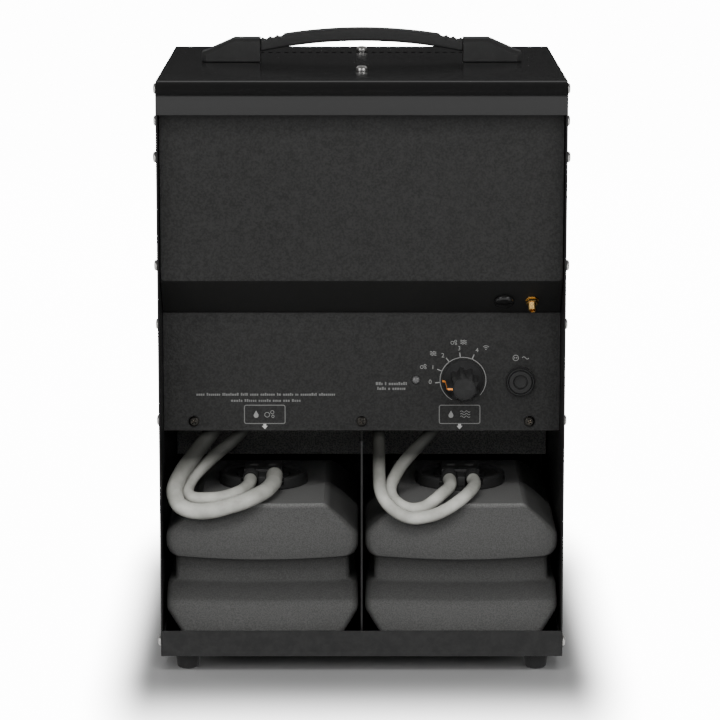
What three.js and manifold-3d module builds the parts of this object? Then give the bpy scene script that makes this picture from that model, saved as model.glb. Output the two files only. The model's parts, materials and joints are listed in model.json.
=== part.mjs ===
// Upright bubble and haze machine: sheet-metal case, two fluid bottles in a bay, control panel above.
// Millimetres, +Z up. Origin: centre of the footprint on the ground. The control side faces -Y,
// the outlets face +Y, and +X is to the right of someone who looks at the control side.
import * as THREE from 'three';
import { mergeVertices } from 'three/addons/utils/BufferGeometryUtils.js';
import Module from 'manifold-3d';

const wasm = await Module();
wasm.setup();

// ---- driving dimensions: the case ----
const caseWidth = 300;
const caseDepth = 295;
const caseTop = 443.5;
const footHeight = 13.5;
const sheet = 1.2;
const gap = 0.3; // between pieces that touch
const halfWidth = caseWidth / 2;
const sideInner = halfWidth - sheet;
const innerHalf = sideInner - gap;
const rearFace = -caseDepth / 2;
const frontFace = caseDepth / 2;
const fromRear = (distance) => rearFace + distance;

const bendRadius = 9;
const flangeBottom = 419.6;
const trayLipTop = 33;
const trayFlangeTop = 30;
const trayFloorTop = footHeight + sheet;
const upperPanelSet = 14; // distances called set are measured forward from the rear edges of the sides
const upperPanelBottom = 295.3;
const panelHalf = 148.2;
const controlSet = 43;
const controlBottom = 176.9;
const controlTop = 266.5;
const deckUnderside = 178.3;
const deckTop = deckUnderside + sheet;
const wallSet = 205;
const wetBayBottom = 124;

// ---- driving dimensions: controls and fasteners ----
const dial = { x: 75.9, z: 215.6 };
const led = { x: 40.6, z: 215.6, radius: 2.85 };
const gland = { x: 118.9, z: 214.5, radius: 10.7, bore: 5 };
const fuse = { x: 105.8, radius: 7.5 };
const antenna = { x: 126.6, hexRadius: 4.4 };
const screw = { shank: 2, head: 4, headHeight: 2.2 };
const panelScrews = { spacing: 126, z: 184.1 };
const lowScrew = { y: fromRear(5), z: 24.6 };

// ---- driving dimensions: fluid ----
const bottleX = 74.5;
const bottleWall = 2.5;
const plateau = 126;
const neck = { outer: 24, inner: 21, top: 129.5 };
const capX = 75.5;
const capY = fromRear(96);
const capRadius = 34;
const capTop = 134.7;
const barb = { z: 135.5, offset: 9, rearY: fromRear(78), tipY: fromRear(58.4) };

// ---- driving dimensions: bubbles, air and haze ----
const wheel = { x: 0, z: 290, y: fromRear(258), radius: 66, thickness: 5 };
const fan = { x: 0, z: 354, half: 46, y: fromRear(176), depth: 25 };
const outlet = { x: 0, z: 322, radius: 70 };
const nozzle = { x: 100, z: 215 };

// Hose centrelines, from the cut-outs in the deck to the barbs on the caps.
const hoses = [
  { name: 'bubble_return_hose', radius: 6.1, steps: 28, route: [
    [-102, -82, 190], [-107, -86, 182], [-113, -91, 173.5], [-121, -98.5, 164], [-127, -106, 157],
    [-133, -113, 150], [-138, -121, 142], [-140, -127.5, 136.5], [-139, -133, 132], [-136, -138, 127.5],
    [-130, -140.5, 124.5], [-120, -141, 123], [-110, -141, 124], [-99, -141, 127], [-88, -139, 130],
    [-79, -133, 133], [-72, -122, 134.5], [-68, -107, 135.5], [-66.5, -97, 135.5], [-66.5, -89.5, 135.5]] },
  { name: 'bubble_feed_hose', radius: 4.75, steps: 30, route: [
    [-75, -80, 190], [-82, -83.5, 182], [-90, -87, 173.5], [-99, -91, 165], [-108, -95, 158],
    [-116.5, -98.5, 151], [-123.5, -104, 145], [-128.5, -111, 139.5], [-130.5, -119, 134.5], [-128.5, -126, 131.5],
    [-124, -131, 130.8], [-116, -132, 130.8], [-107, -131.5, 131.2], [-98, -127.5, 132.5], [-90, -119, 134],
    [-86, -108, 135], [-84.5, -98, 135.5], [-84.5, -89.5, 135.5]] },
  { name: 'haze_feed_hose', radius: 4.75, steps: 30, route: [
    [13, -76, 190], [13, -83, 182], [13, -90.5, 173.5], [13, -102, 161], [13, -117, 146],
    [14, -128, 136], [18, -135.5, 129], [24, -140.5, 124], [31, -142, 120], [39, -142.2, 118],
    [47, -142.2, 119], [55, -142, 121], [64, -140.5, 125], [72, -136, 129.5], [79, -126.5, 133],
    [84, -111.5, 135], [85.3, -98.5, 135.5], [84.5, -89.5, 135.5]] },
  { name: 'haze_return_hose', radius: 4.75, steps: 30, route: [
    [71, -80, 190], [63, -83.5, 182], [54, -87, 173.5], [45, -91, 164.5], [37, -95, 156.5],
    [30, -99.5, 149], [25, -106, 142], [22, -113, 137], [21.5, -120, 133], [24, -127, 129],
    [30, -131.5, 125], [37, -133, 123], [46, -133, 124.2], [53, -132.2, 128.4], [60, -125, 132.8],
    [65, -113.5, 134.4], [67, -100.5, 135.3], [66.5, -89.5, 135.5]] },
];
const deckOpenings = [[-121, -62, -99, -70], [6, 20, -98, -68], [44, 82, -99, -70]];

// ---- finishes ----
function finishOf(color, roughness, metalness) {
  return new THREE.MeshStandardMaterial({ color, roughness, metalness });
}
const powder = finishOf(0x2b2b2b, 0.62, 0.25);
const satinBlack = finishOf(0x1c1c1c, 0.38, 0.3);
const zinc = finishOf(0x9a9a98, 0.4, 0.9);
const chrome = finishOf(0xc8c8c8, 0.22, 1);
const gold = finishOf(0xd9a441, 0.28, 1);
const aluminium = finishOf(0xa8abad, 0.45, 0.9);
const rubber = finishOf(0x151515, 0.85, 0);
const moulded = finishOf(0x1f1f1f, 0.5, 0);
const bottlePlastic = finishOf(0x4a4a4a, 0.7, 0);
const silicone = finishOf(0xb6b6ac, 0.35, 0);
const lensPlastic = finishOf(0x8e8e8e, 0.3, 0);
const palePlastic = finishOf(0xd8d8d4, 0.4, 0);
const boardGreen = finishOf(0x1d4a2c, 0.5, 0);

const machine = new THREE.Group();

function addPart(name, geometry, material) {
  const mesh = new THREE.Mesh(geometry, material);
  mesh.name = name;
  machine.add(mesh);
}

// ---- cutting and joining ----
function toSolid(geometry) {
  const plain = geometry.clone();
  for (const name of Object.keys(plain.attributes)) {
    if (name !== 'position') plain.deleteAttribute(name);
  }
  const merged = mergeVertices(plain, 1e-4);
  return new wasm.Manifold(new wasm.Mesh({
    numProp: 3,
    vertProperties: new Float32Array(merged.attributes.position.array),
    triVerts: new Uint32Array(merged.index.array),
  }));
}

function toGeometry(solid) {
  const mesh = solid.getMesh();
  const geometry = new THREE.BufferGeometry();
  geometry.setAttribute('position', new THREE.BufferAttribute(new Float32Array(mesh.vertProperties), 3));
  geometry.setIndex(new THREE.BufferAttribute(new Uint32Array(mesh.triVerts), 1));
  return geometry;
}

function cut(geometry, tools) {
  const start = toSolid(geometry);
  return toGeometry(tools.reduce((solid, tool) => solid.subtract(toSolid(tool)), start));
}

function join(geometry, others) {
  const start = toSolid(geometry);
  return toGeometry(others.reduce((solid, other) => solid.add(toSolid(other)), start));
}

// ---- basic shapes ----
function box(x0, x1, y0, y1, z0, z1) {
  const geometry = new THREE.BoxGeometry(x1 - x0, y1 - y0, z1 - z0);
  return geometry.translate((x0 + x1) / 2, (y0 + y1) / 2, (z0 + z1) / 2);
}

function rodAlongX(y, z, radius, x0, x1, sides = 12) {
  const geometry = new THREE.CylinderGeometry(radius, radius, x1 - x0, sides).rotateZ(Math.PI / 2);
  return geometry.translate((x0 + x1) / 2, y, z);
}

function rodAlongY(x, z, radius, y0, y1, sides = 16) {
  const geometry = new THREE.CylinderGeometry(radius, radius, y1 - y0, sides);
  return geometry.translate(x, (y0 + y1) / 2, z);
}

function rodAlongZ(x, y, radius, z0, z1, sides = 16) {
  const geometry = new THREE.CylinderGeometry(radius, radius, z1 - z0, sides).rotateX(Math.PI / 2);
  return geometry.translate(x, y, (z0 + z1) / 2);
}

// A profile of [radius, height] pairs, counter-clockwise, turned about +Z.
function turned(profile, sides = 24) {
  const points = profile.map(([radius, height]) => new THREE.Vector2(radius, height));
  return new THREE.LatheGeometry(points, sides).rotateX(Math.PI / 2);
}

// The same, turned about the way the control side faces, -Y.
function turnedToRear(profile, x, y, z, sides = 24) {
  return turned(profile, sides).rotateX(Math.PI / 2).translate(x, y, z);
}

function outlineOf(points) {
  return new THREE.Shape(points.map(([u, v]) => new THREE.Vector2(u, v)));
}

function extrude(shape, depth, turn, curveSegments) {
  const geometry = new THREE.ExtrudeGeometry(shape, { depth, bevelEnabled: false, curveSegments });
  return geometry.applyMatrix4(turn);
}

// An outline in (Y, Z), extruded from x0 to x1.
function extrudeAlongX(shape, x0, x1, curveSegments = 6) {
  const turn = new THREE.Matrix4().makeBasis(
    new THREE.Vector3(0, 1, 0), new THREE.Vector3(0, 0, 1), new THREE.Vector3(1, 0, 0));
  return extrude(shape, x1 - x0, turn, curveSegments).translate(x0, 0, 0);
}

// An outline in (X, Z), extruded from y0 to y1.
function extrudeAlongY(shape, y0, y1, curveSegments = 8) {
  const turn = new THREE.Matrix4().makeBasis(
    new THREE.Vector3(1, 0, 0), new THREE.Vector3(0, 0, 1), new THREE.Vector3(0, -1, 0));
  return extrude(shape, y1 - y0, turn, curveSegments).translate(0, y1, 0);
}

function circleHole(u, v, radius) {
  const hole = new THREE.Path();
  hole.absarc(u, v, radius, 0, Math.PI * 2, true);
  return hole;
}

function plateInXZ(x0, x1, z0, z1, y0, y1, holes = [], curveSegments = 8) {
  const shape = outlineOf([[x0, z0], [x1, z0], [x1, z1], [x0, z1]]);
  shape.holes.push(...holes);
  return extrudeAlongY(shape, y0, y1, curveSegments);
}

function panelScrewHoles() {
  return [-1, 0, 1].map((i) => circleHole(i * panelScrews.spacing, panelScrews.z, screw.shank + gap));
}

// ---- case ----
function sidePanel(side) {
  const bend = bendRadius - sheet - gap;
  const low = rearFace + sheet + gap;
  const top = caseTop - sheet - gap;
  const vent = { count: 9, pitch: 9, first: fromRear(95), halfWidth: 1.6, z0: 330, z1: 372 };
  const shape = new THREE.Shape();
  shape.moveTo(low, footHeight);
  shape.lineTo(-low, footHeight);
  shape.lineTo(-low, trayLipTop + gap);
  shape.lineTo(frontFace, trayLipTop + gap);
  shape.lineTo(frontFace, flangeBottom - gap);
  shape.lineTo(-low, flangeBottom - gap);
  shape.absarc(-low - bend, top - bend, bend, 0, Math.PI / 2, false);
  shape.absarc(low + bend, top - bend, bend, Math.PI / 2, Math.PI, false);
  shape.lineTo(low, flangeBottom - gap);
  shape.lineTo(rearFace, flangeBottom - gap);
  shape.lineTo(rearFace, trayLipTop + gap);
  shape.lineTo(low, trayLipTop + gap);
  const x0 = Math.min(side * sideInner, side * halfWidth);
  const x1 = x0 + sheet;
  const tools = [rodAlongX(lowScrew.y, lowScrew.z, screw.shank + gap, x0 - 3, x1 + 3)];
  for (let i = 0; i < vent.count; i += 1) {
    const y = vent.first + i * vent.pitch;
    tools.push(box(x0 - 3, x1 + 3, y - vent.halfWidth, y + vent.halfWidth, vent.z0, vent.z1));
  }
  return cut(extrudeAlongX(shape, x0, x1), tools);
}

function topCover() {
  const inner = bendRadius - sheet;
  const bendZ = caseTop - bendRadius;
  const shape = new THREE.Shape();
  shape.moveTo(rearFace, flangeBottom);
  shape.lineTo(rearFace + sheet, flangeBottom);
  shape.absarc(rearFace + bendRadius, bendZ, inner, Math.PI, Math.PI / 2, true);
  shape.absarc(frontFace - bendRadius, bendZ, inner, Math.PI / 2, 0, true);
  shape.lineTo(frontFace - sheet, flangeBottom);
  shape.lineTo(frontFace, flangeBottom);
  shape.absarc(frontFace - bendRadius, bendZ, bendRadius, 0, Math.PI / 2, false);
  shape.absarc(rearFace + bendRadius, bendZ, bendRadius, Math.PI / 2, Math.PI, false);
  const slots = { count: 26, pitch: 6.28, halfWidth: 1.2, y0: fromRear(228), y1: fromRear(236) };
  const first = (-slots.pitch * (slots.count - 1)) / 2;
  const tools = [];
  for (let i = 0; i < slots.count; i += 1) {
    const x = first + i * slots.pitch;
    tools.push(box(x - slots.halfWidth, x + slots.halfWidth, slots.y0, slots.y1, caseTop - 5, caseTop + 5));
  }
  return cut(extrudeAlongX(shape, -halfWidth, halfWidth), tools);
}

function baseTray() {
  const tray = join(box(-innerHalf, innerHalf, rearFace, frontFace, footHeight, trayFloorTop), [
    box(-halfWidth, halfWidth, rearFace, rearFace + sheet, footHeight, trayLipTop),
    box(-halfWidth, halfWidth, frontFace - sheet, frontFace, footHeight, trayLipTop),
    box(-innerHalf, sheet - innerHalf, rearFace, frontFace, footHeight, trayFlangeTop),
    box(innerHalf - sheet, innerHalf, rearFace, frontFace, footHeight, trayFlangeTop),
  ]);
  return cut(tray, [-1, 1].map((side) => rodAlongX(
    lowScrew.y, lowScrew.z, screw.shank + gap, side * innerHalf - 3, side * innerHalf + 3)));
}

function rearUpperPanel() {
  const corner = 3;
  const top = 440;
  const shape = new THREE.Shape();
  shape.absarc(panelHalf - corner, upperPanelBottom + corner, corner, -Math.PI / 2, 0, false);
  shape.lineTo(panelHalf, top);
  shape.lineTo(-panelHalf, top);
  shape.absarc(corner - panelHalf, upperPanelBottom + corner, corner, Math.PI, Math.PI * 1.5, false);
  return extrudeAlongY(shape, fromRear(upperPanelSet), fromRear(upperPanelSet + sheet), 4);
}

// The slanted sheet between the two rear panels: a lip behind each, and a face that looks down.
const slantStart = { y: fromRear(upperPanelSet + sheet + gap), z: upperPanelBottom - 0.6 };
const slantEnd = { y: fromRear(controlSet + sheet + gap), z: controlTop + 0.6 };
const slantAngle = Math.atan2(slantEnd.z - slantStart.z, slantEnd.y - slantStart.y);

// Puts a piece drawn about +Z on the slanted sheet, part of the way down, pointing out of it.
function onSlant(x, geometry) {
  const share = 0.6;
  const y = slantStart.y + (slantEnd.y - slantStart.y) * share;
  const z = slantStart.z + (slantEnd.z - slantStart.z) * share;
  return geometry.rotateX(Math.PI + slantAngle).translate(x, y, z);
}

function connectorPanel() {
  const lip = 14;
  const rise = 0.5;
  const shape = outlineOf([
    [slantStart.y, slantStart.z + lip], [slantStart.y, slantStart.z],
    [slantEnd.y, slantEnd.z], [slantEnd.y, slantEnd.z - lip],
    [slantEnd.y + sheet, slantEnd.z - lip], [slantEnd.y + sheet, slantEnd.z + rise],
    [slantStart.y + sheet, slantStart.z + rise], [slantStart.y + sheet, slantStart.z + lip],
  ]);
  return cut(extrudeAlongX(shape, -panelHalf, panelHalf), [
    onSlant(fuse.x, rodAlongZ(0, 0, 6, -8, 8)),
    onSlant(antenna.x, rodAlongZ(0, 0, 3.3, -8, 8, 12)),
  ]);
}

function controlPanel() {
  return plateInXZ(-innerHalf, innerHalf, controlBottom, controlTop,
    fromRear(controlSet), fromRear(controlSet + sheet), [
      circleHole(dial.x, dial.z, 4),
      circleHole(led.x, led.z, led.radius + gap),
      circleHole(gland.x, gland.z, 7.4),
      ...panelScrewHoles(),
    ]);
}

function equipmentDeck() {
  const y0 = fromRear(controlSet + sheet + gap);
  const flange = plateInXZ(-innerHalf, innerHalf, deckUnderside, 194, y0, y0 + sheet, panelScrewHoles());
  const plate = box(-innerHalf, innerHalf, y0, fromRear(wallSet) - gap, deckUnderside, deckTop);
  return cut(join(plate, [flange]), deckOpenings.map(([x0, x1, y2, y3]) => (
    box(x0, x1, y2, y3, deckUnderside - 5, deckTop + 5))));
}

function wetBayBulkhead() {
  const half = 147.7;
  const wall = plateInXZ(-half, half, wetBayBottom, 440, fromRear(wallSet), fromRear(wallSet + sheet), [
    circleHole(fan.x, fan.z, 42),
    circleHole(wheel.x, wheel.z, 4),
    circleHole(nozzle.x, nozzle.z, 7),
  ]);
  const floor = box(-half, half, fromRear(wallSet), frontFace - 6, wetBayBottom, wetBayBottom + sheet);
  return join(wall, [floor]);
}

function frontPanel() {
  const y1 = frontFace - sheet - gap;
  return plateInXZ(-innerHalf, innerHalf, trayFlangeTop + gap, caseTop - bendRadius, y1 - sheet, y1, [
    circleHole(outlet.x, outlet.z, outlet.radius),
    circleHole(nozzle.x, nozzle.z, 11),
  ], 20);
}

// A trim ring that lines the bubble outlet: a flange on the panel and a short collar through it.
function outletRing() {
  const inner = outlet.radius - 4;
  const collar = outlet.radius - 1;
  const flange = outlet.radius + 5;
  const profile = [[inner, -4], [collar, -4], [collar, gap], [flange, gap], [flange, 1.2], [inner, 1.2]];
  return turned([...profile, profile[0]], 32).rotateX(-Math.PI / 2)
    .translate(outlet.x, frontFace - sheet - gap, outlet.z);
}

function bayDivider() {
  return box(-0.75, 0.75, fromRear(6), fromRear(wallSet) - gap, trayFloorTop + gap, controlBottom - gap);
}

function foot(x, y) {
  const top = footHeight - gap;
  const profile = [[0, 0], [6.4, 0], [8, 1.4], [9.6, top], [0, top]];
  return turned(profile, 20).translate(x, y, 0);
}

// ---- carrying handle ----
const handle = { y: fromRear(163.5), halfDepth: 12, mountEnd: 123, mountStart: 78, crown: 469, gripEnd: 459 };

function arcThrough(shape, halfSpan, endZ, crownZ, steps, towardsRight) {
  const rise = crownZ - endZ;
  const radius = (halfSpan * halfSpan + rise * rise) / (2 * rise);
  for (let i = 0; i <= steps; i += 1) {
    const share = towardsRight ? i / steps : 1 - i / steps;
    const x = -halfSpan + 2 * halfSpan * share;
    shape.lineTo(x, crownZ - radius + Math.sqrt(radius * radius - x * x));
  }
}

function handleGrip() {
  const half = handle.halfDepth - 1.5;
  const tongue = { end: 89, top: 457.5, bottom: 453 };
  const underside = { end: 451.6, crown: 460 };
  const halfSpan = handle.mountStart - gap;
  const shape = new THREE.Shape();
  shape.moveTo(-tongue.end, tongue.bottom);
  shape.lineTo(-halfSpan, tongue.bottom);
  arcThrough(shape, halfSpan, underside.end, underside.crown, 10, true);
  shape.lineTo(halfSpan, tongue.bottom);
  shape.lineTo(tongue.end, tongue.bottom);
  shape.lineTo(tongue.end, tongue.top);
  shape.lineTo(halfSpan, tongue.top);
  arcThrough(shape, halfSpan, handle.gripEnd, handle.crown, 10, false);
  shape.lineTo(-halfSpan, tongue.top);
  shape.lineTo(-tongue.end, tongue.top);
  return extrudeAlongY(shape, handle.y - half, handle.y + half);
}

function handleMount(side) {
  const base = caseTop + gap;
  const top = caseTop + 18.7;
  const outline = [[78, base], [handle.mountEnd, base], [handle.mountEnd, 451], [119, 452.2], [98, top], [78, top]];
  const points = side < 0 ? outline.map(([u, v]) => [-u, v]).reverse() : outline;
  const block = extrudeAlongY(outlineOf(points), handle.y - handle.halfDepth, handle.y + handle.halfDepth);
  const pocket = { near: 70, far: 90, halfDepth: handle.halfDepth - 1.2, bottom: 452.6, top: 457.9 };
  const x0 = side < 0 ? -pocket.far : pocket.near;
  const x1 = side < 0 ? -pocket.near : pocket.far;
  return cut(block, [box(x0, x1, handle.y - pocket.halfDepth, handle.y + pocket.halfDepth,
    pocket.bottom, pocket.top)]);
}

// ---- controls ----
function modeKnob() {
  const height = 37;
  const base = fromRear(controlSet) - 0.5;
  const profile = [
    [0, 0], [15.5, 0], [15.5, 5], [14.6, 7.5], [12.8, 9.5], [11.8, height - 4],
    [10.6, height - 1.6], [8.5, height - 0.5], [0, height - 0.5],
  ];
  const flutes = { count: 9, radius: 3.1, distance: 13.9 };
  const tools = [];
  for (let i = 0; i < flutes.count; i += 1) {
    const angle = (i * 2 * Math.PI) / flutes.count;
    const x = flutes.distance * Math.cos(angle);
    const y = flutes.distance * Math.sin(angle);
    tools.push(rodAlongZ(x, y, flutes.radius, 10, height + 2, 8));
  }
  tools.push(rodAlongZ(0, 0, 3.5, -1, 20));
  return cut(turned(profile, 36), tools).rotateX(Math.PI / 2).translate(dial.x, base, dial.z);
}

function switchShaft() {
  return rodAlongY(dial.x, dial.z, 3.2, fromRear(controlSet - 18), fromRear(52));
}

function rotarySwitch() {
  const body = rodAlongY(dial.x, dial.z, 11, fromRear(controlSet + sheet + gap), fromRear(62), 20);
  const terminals = [-1, 0, 1].map((i) => box(
    dial.x + i * 6 - 1, dial.x + i * 6 + 1, fromRear(61), fromRear(66), dial.z - 4, dial.z + 4));
  const bore = rodAlongY(dial.x, dial.z, 3.5, fromRear(40), fromRear(52.3));
  return cut(join(body, terminals), [bore]);
}

function statusLed() {
  const out = fromRear(controlSet);
  const profile = [[0, -6], [led.radius, -6], [led.radius, 0.6], [led.radius * 0.75, 1.5], [0, 1.9]];
  return turnedToRear(profile, led.x, out, led.z, 16);
}

function cableGland() {
  const out = fromRear(controlSet);
  const { radius, bore } = gland;
  const profile = [
    [bore, -14], [7, -14], [7, gap], [radius, gap], [radius, 3.2], [radius - 1.4, 4.6],
    [7.4, 4.6], [6.2, 2.6], [bore, 2.2],
  ];
  return turnedToRear([...profile, profile[0]], gland.x, out, gland.z, 24);
}

function fuseHolder() {
  const profile = [[4.7, -2], [4.7, 0.2], [5.7, 0.2], [5.7, -26], [0, -26], [0, -20], [4.7, -20]];
  return onSlant(fuse.x, turned([...profile, profile[0]].reverse(), 20));
}

function fuseCap() {
  const slot = box(-6, 6, -0.8, 0.8, 2.6, 6);
  const profile = [[0, -12], [4.3, -12], [4.3, gap + 0.2], [fuse.radius, gap + 0.2],
    [fuse.radius, 2.4], [fuse.radius - 1.2, 3.8], [0, 3.8]];
  return onSlant(fuse.x, cut(turned(profile, 24), [slot]));
}

function antennaSocket() {
  const stem = turned([[0, -9], [3, -9], [3, 9.5], [2.2, 9.5], [2.2, 5.5], [0, 5.5]], 16);
  const nut = turned([[0, gap], [antenna.hexRadius, gap], [antenna.hexRadius, 2.6], [0, 2.6]], 6);
  return onSlant(antenna.x, join(stem, [nut]));
}

// A pan-head screw about +Z: the head's flat on z = 0, the shank below.
function panScrew(length) {
  const { shank, head, headHeight } = screw;
  const profile = [[0, -length], [shank, -length], [shank, 0.1], [head, 0.1],
    [head * 0.94, headHeight * 0.5], [head * 0.66, headHeight * 0.9], [0, headHeight]];
  return turned(profile, 12);
}

function sideScrew(side) {
  return panScrew(6).rotateY((side * Math.PI) / 2).translate(side * (halfWidth + 0.1), lowScrew.y, lowScrew.z);
}

function panelScrew(x) {
  return panScrew(6).rotateX(Math.PI / 2).translate(x, fromRear(controlSet) - 0.1, panelScrews.z);
}

// ---- bottles ----
// Cross-sections from the base up: half width, front and back faces, and how far the front face
// stands out in the middle. The waist between the two bulges is where a hand lifts the bottle.
const bottleLevels = [
  { z: 15, half: 50.5, front: 28, back: 182, crown: 4 },
  { z: 30.5, half: 59.6, front: 20.5, back: 190, crown: 6 },
  { z: 47.5, half: 70, front: 11, back: 199, crown: 9 },
  { z: 54, half: 71.2, front: 9.5, back: 200, crown: 10 },
  { z: 61, half: 71.2, front: 9.5, back: 200, crown: 10 },
  { z: 66, half: 69.2, front: 12.5, back: 198, crown: 9 },
  { z: 71.5, half: 64.4, front: 19, back: 192, crown: 8 },
  { z: 87.8, half: 64, front: 19.5, back: 191.5, crown: 8 },
  { z: 89.4, half: 67.6, front: 11.5, back: 198, crown: 10 },
  { z: 94, half: 70.6, front: 9.5, back: 200, crown: 11 },
  { z: 104, half: 71.2, front: 11.5, back: 200, crown: 10 },
  { z: 116, half: 59.5, front: 16, back: 197, crown: 7 },
  { z: 122, half: 52.5, front: 18, back: 193, crown: 6 },
  { z: plateau, half: 46.5, front: 19.5, back: 165, crown: 5 },
];
const bottleCorner = 11;

function arcPoints(cx, cy, radius, from, to, steps) {
  const points = [];
  for (let i = 0; i <= steps; i += 1) {
    const angle = ((from + ((to - from) * i) / steps) * Math.PI) / 180;
    points.push([cx + radius * Math.cos(angle), cy + radius * Math.sin(angle)]);
  }
  return points;
}

// One section's outline about x = 0, counter-clockwise from above.
function bottleOutline(level, inset) {
  const half = level.half - inset;
  const back = fromRear(level.back) - inset;
  const corner = bottleCorner - inset;
  const flat = half - corner;
  const faceAt = (x) => fromRear(level.front) + inset + level.crown * (x / half) ** 2;
  const face = [-1, -0.6, -0.2, 0.2, 0.6, 1].map((share) => [share * flat, faceAt(share * flat)]);
  const cornerY = faceAt(flat) + corner;
  return [
    ...face,
    ...arcPoints(flat, cornerY, corner, -90, 0, 3).slice(1),
    ...arcPoints(flat, back - corner, corner, 0, 90, 2),
    ...arcPoints(-flat, back - corner, corner, 90, 180, 2),
    ...arcPoints(-flat, cornerY, corner, 180, 270, 3).slice(0, -1),
  ];
}

function loft(rings) {
  const count = rings[0].length;
  const positions = rings.flat(2);
  const index = [];
  for (let k = 0; k + 1 < rings.length; k += 1) {
    for (let i = 0; i < count; i += 1) {
      const a = k * count + i;
      const b = k * count + ((i + 1) % count);
      index.push(a, b, b + count, a, b + count, a + count);
    }
  }
  const last = (rings.length - 1) * count;
  for (let i = 1; i + 1 < count; i += 1) {
    index.push(0, i + 1, i, last, last + i, last + i + 1);
  }
  const geometry = new THREE.BufferGeometry();
  geometry.setAttribute('position', new THREE.Float32BufferAttribute(positions, 3));
  geometry.setIndex(index);
  return geometry;
}

function bottle(side) {
  const lift = (level, inset, z) => bottleOutline(level, inset).map(([x, y]) => [x + side * bottleX, y, z]);
  const outer = loft(bottleLevels.map((level) => lift(level, 0, level.z)));
  const last = bottleLevels.length - 1;
  const innerLevels = bottleLevels.filter((level, i) => ![3, 5, 9, 12].includes(i));
  const inner = loft(innerLevels.map((level, i) => {
    const ends = { 0: bottleWall, [innerLevels.length - 1]: -bottleWall };
    return lift(level, i === last ? 0 : bottleWall, level.z + (ends[i] ?? 0));
  }));
  const x = side * capX;
  const withNeck = join(outer, [rodAlongZ(x, capY, neck.outer, plateau - 1, neck.top, 28)]);
  return cut(withNeck, [inner, rodAlongZ(x, capY, neck.inner, plateau - 10, neck.top + 2, 28)]);
}

// A screw cap with a recessed top, notched at the front where the hoses cross its rim.
function cap(side) {
  const thread = neck.outer + gap;
  const bottom = plateau + gap;
  const profile = [
    [20, 132.2], [29, 132.2], [30, capTop], [capRadius - 1, capTop], [capRadius, capTop - 1],
    [capRadius, bottom], [thread, bottom], [thread, neck.top + gap], [20, neck.top + gap],
  ];
  const ring = turned([...profile, profile[0]].reverse(), 30).translate(side * capX, capY, 0);
  const notch = box(side * capX - 16.5, side * capX + 16.5, capY - 50, barb.rearY + 2.6, neck.top, 140);
  return cut(ring, [notch]);
}

const plugBottom = 122;

// The block in the middle of the cap that carries two ringed hose barbs, and its plug in the neck.
function hoseManifold(side) {
  const x = side * capX;
  const barbs = [-1, 1].flatMap((i) => {
    const bx = x + i * barb.offset;
    const collars = [0, 1, 2].map((k) => rodAlongY(
      bx, barb.z, 5.7 - 0.1 * k, barb.rearY - 5 - 4 * k, barb.rearY - 2.4 - 4 * k, 12));
    return [rodAlongY(bx, barb.z, 4.9, barb.tipY, barb.rearY + 2, 12), ...collars];
  });
  return join(rodAlongZ(x, capY, 19.6, plugBottom, 133.4, 24), [
    box(x - 14.5, x + 14.5, barb.rearY, capY + 15, 133, 139.5),
    box(x - 3, x + 3, fromRear(61), barb.rearY + 2, 129.8, 137.4),
    ...barbs,
  ]);
}

function pickupTube(side) {
  return rodAlongZ(side * capX, capY, 4, 20, plugBottom - gap, 10);
}

// ---- hoses ----
function hose({ radius, steps, route }) {
  const sides = 8;
  const section = new THREE.Shape(arcPoints(0, 0, radius, 0, 360, sides).slice(0, -1)
    .map(([u, v]) => new THREE.Vector2(u, v)));
  const extrudePath = new THREE.CatmullRomCurve3(route.map(([x, y, z]) => new THREE.Vector3(x, y, z)));
  return new THREE.ExtrudeGeometry(section, { extrudePath, steps, bevelEnabled: false });
}

// The block above the deck that a machine's pair of lines comes out of, on two legs.
function hoseBulkhead(x0, x1, height) {
  const z0 = 196.5;
  const z1 = z0 + height;
  const legs = [x0, x1 - 4].map((x) => box(x, x + 4, -66.5, -62, deckTop + gap, z1));
  return join(box(x0, x1, -92, -66, z0, z1), legs);
}

// ---- bubble wheel, trough and drive ----
function bubbleWheel() {
  const wands = { count: 8, distance: 50, radius: 12.5 };
  const y0 = wheel.y;
  const y1 = wheel.y + wheel.thickness;
  const rim = arcPoints(wheel.x, wheel.z, wheel.radius, 0, 360, 36).slice(0, -1);
  const shape = outlineOf(rim);
  for (let i = 0; i < wands.count; i += 1) {
    const angle = (i * 2 * Math.PI) / wands.count;
    const x = wheel.x + wands.distance * Math.cos(angle);
    const z = wheel.z + wands.distance * Math.sin(angle);
    shape.holes.push(circleHole(x, z, wands.radius));
  }
  const disc = extrudeAlongY(shape, y0, y1, 7);
  const hub = rodAlongY(wheel.x, wheel.z, 9, y0 - 12, y1 + 4, 16);
  return cut(join(disc, [hub]), [rodAlongY(wheel.x, wheel.z, 3.3, y0 - 14, y0 + 2, 12)]);
}

function wheelShaft() {
  return rodAlongY(wheel.x, wheel.z, 3, fromRear(198), wheel.y + 1.5, 12);
}

function wheelMotor() {
  const body = rodAlongY(wheel.x, wheel.z, 15, fromRear(158), fromRear(wallSet) - gap, 20);
  return cut(body, [rodAlongY(wheel.x, wheel.z, 3.3, fromRear(197.5), fromRear(210), 12)]);
}

function fluidTrough() {
  const half = 74;
  const y0 = fromRear(240);
  const y1 = fromRear(281);
  const wall = 2;
  const z0 = 205;
  const z1 = 246;
  const tank = cut(box(-half, half, y0, y1, z0, z1), [
    box(wall - half, half - wall, y0 + wall, y1 - wall, z0 + wall, z1 + 5)]);
  const posts = [-1, 1].map((side) => box(
    side * 60 - 5, side * 60 + 5, fromRear(wallSet + sheet) + gap, y0 + 1, z0, z0 + 12));
  return join(tank, posts);
}

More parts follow.
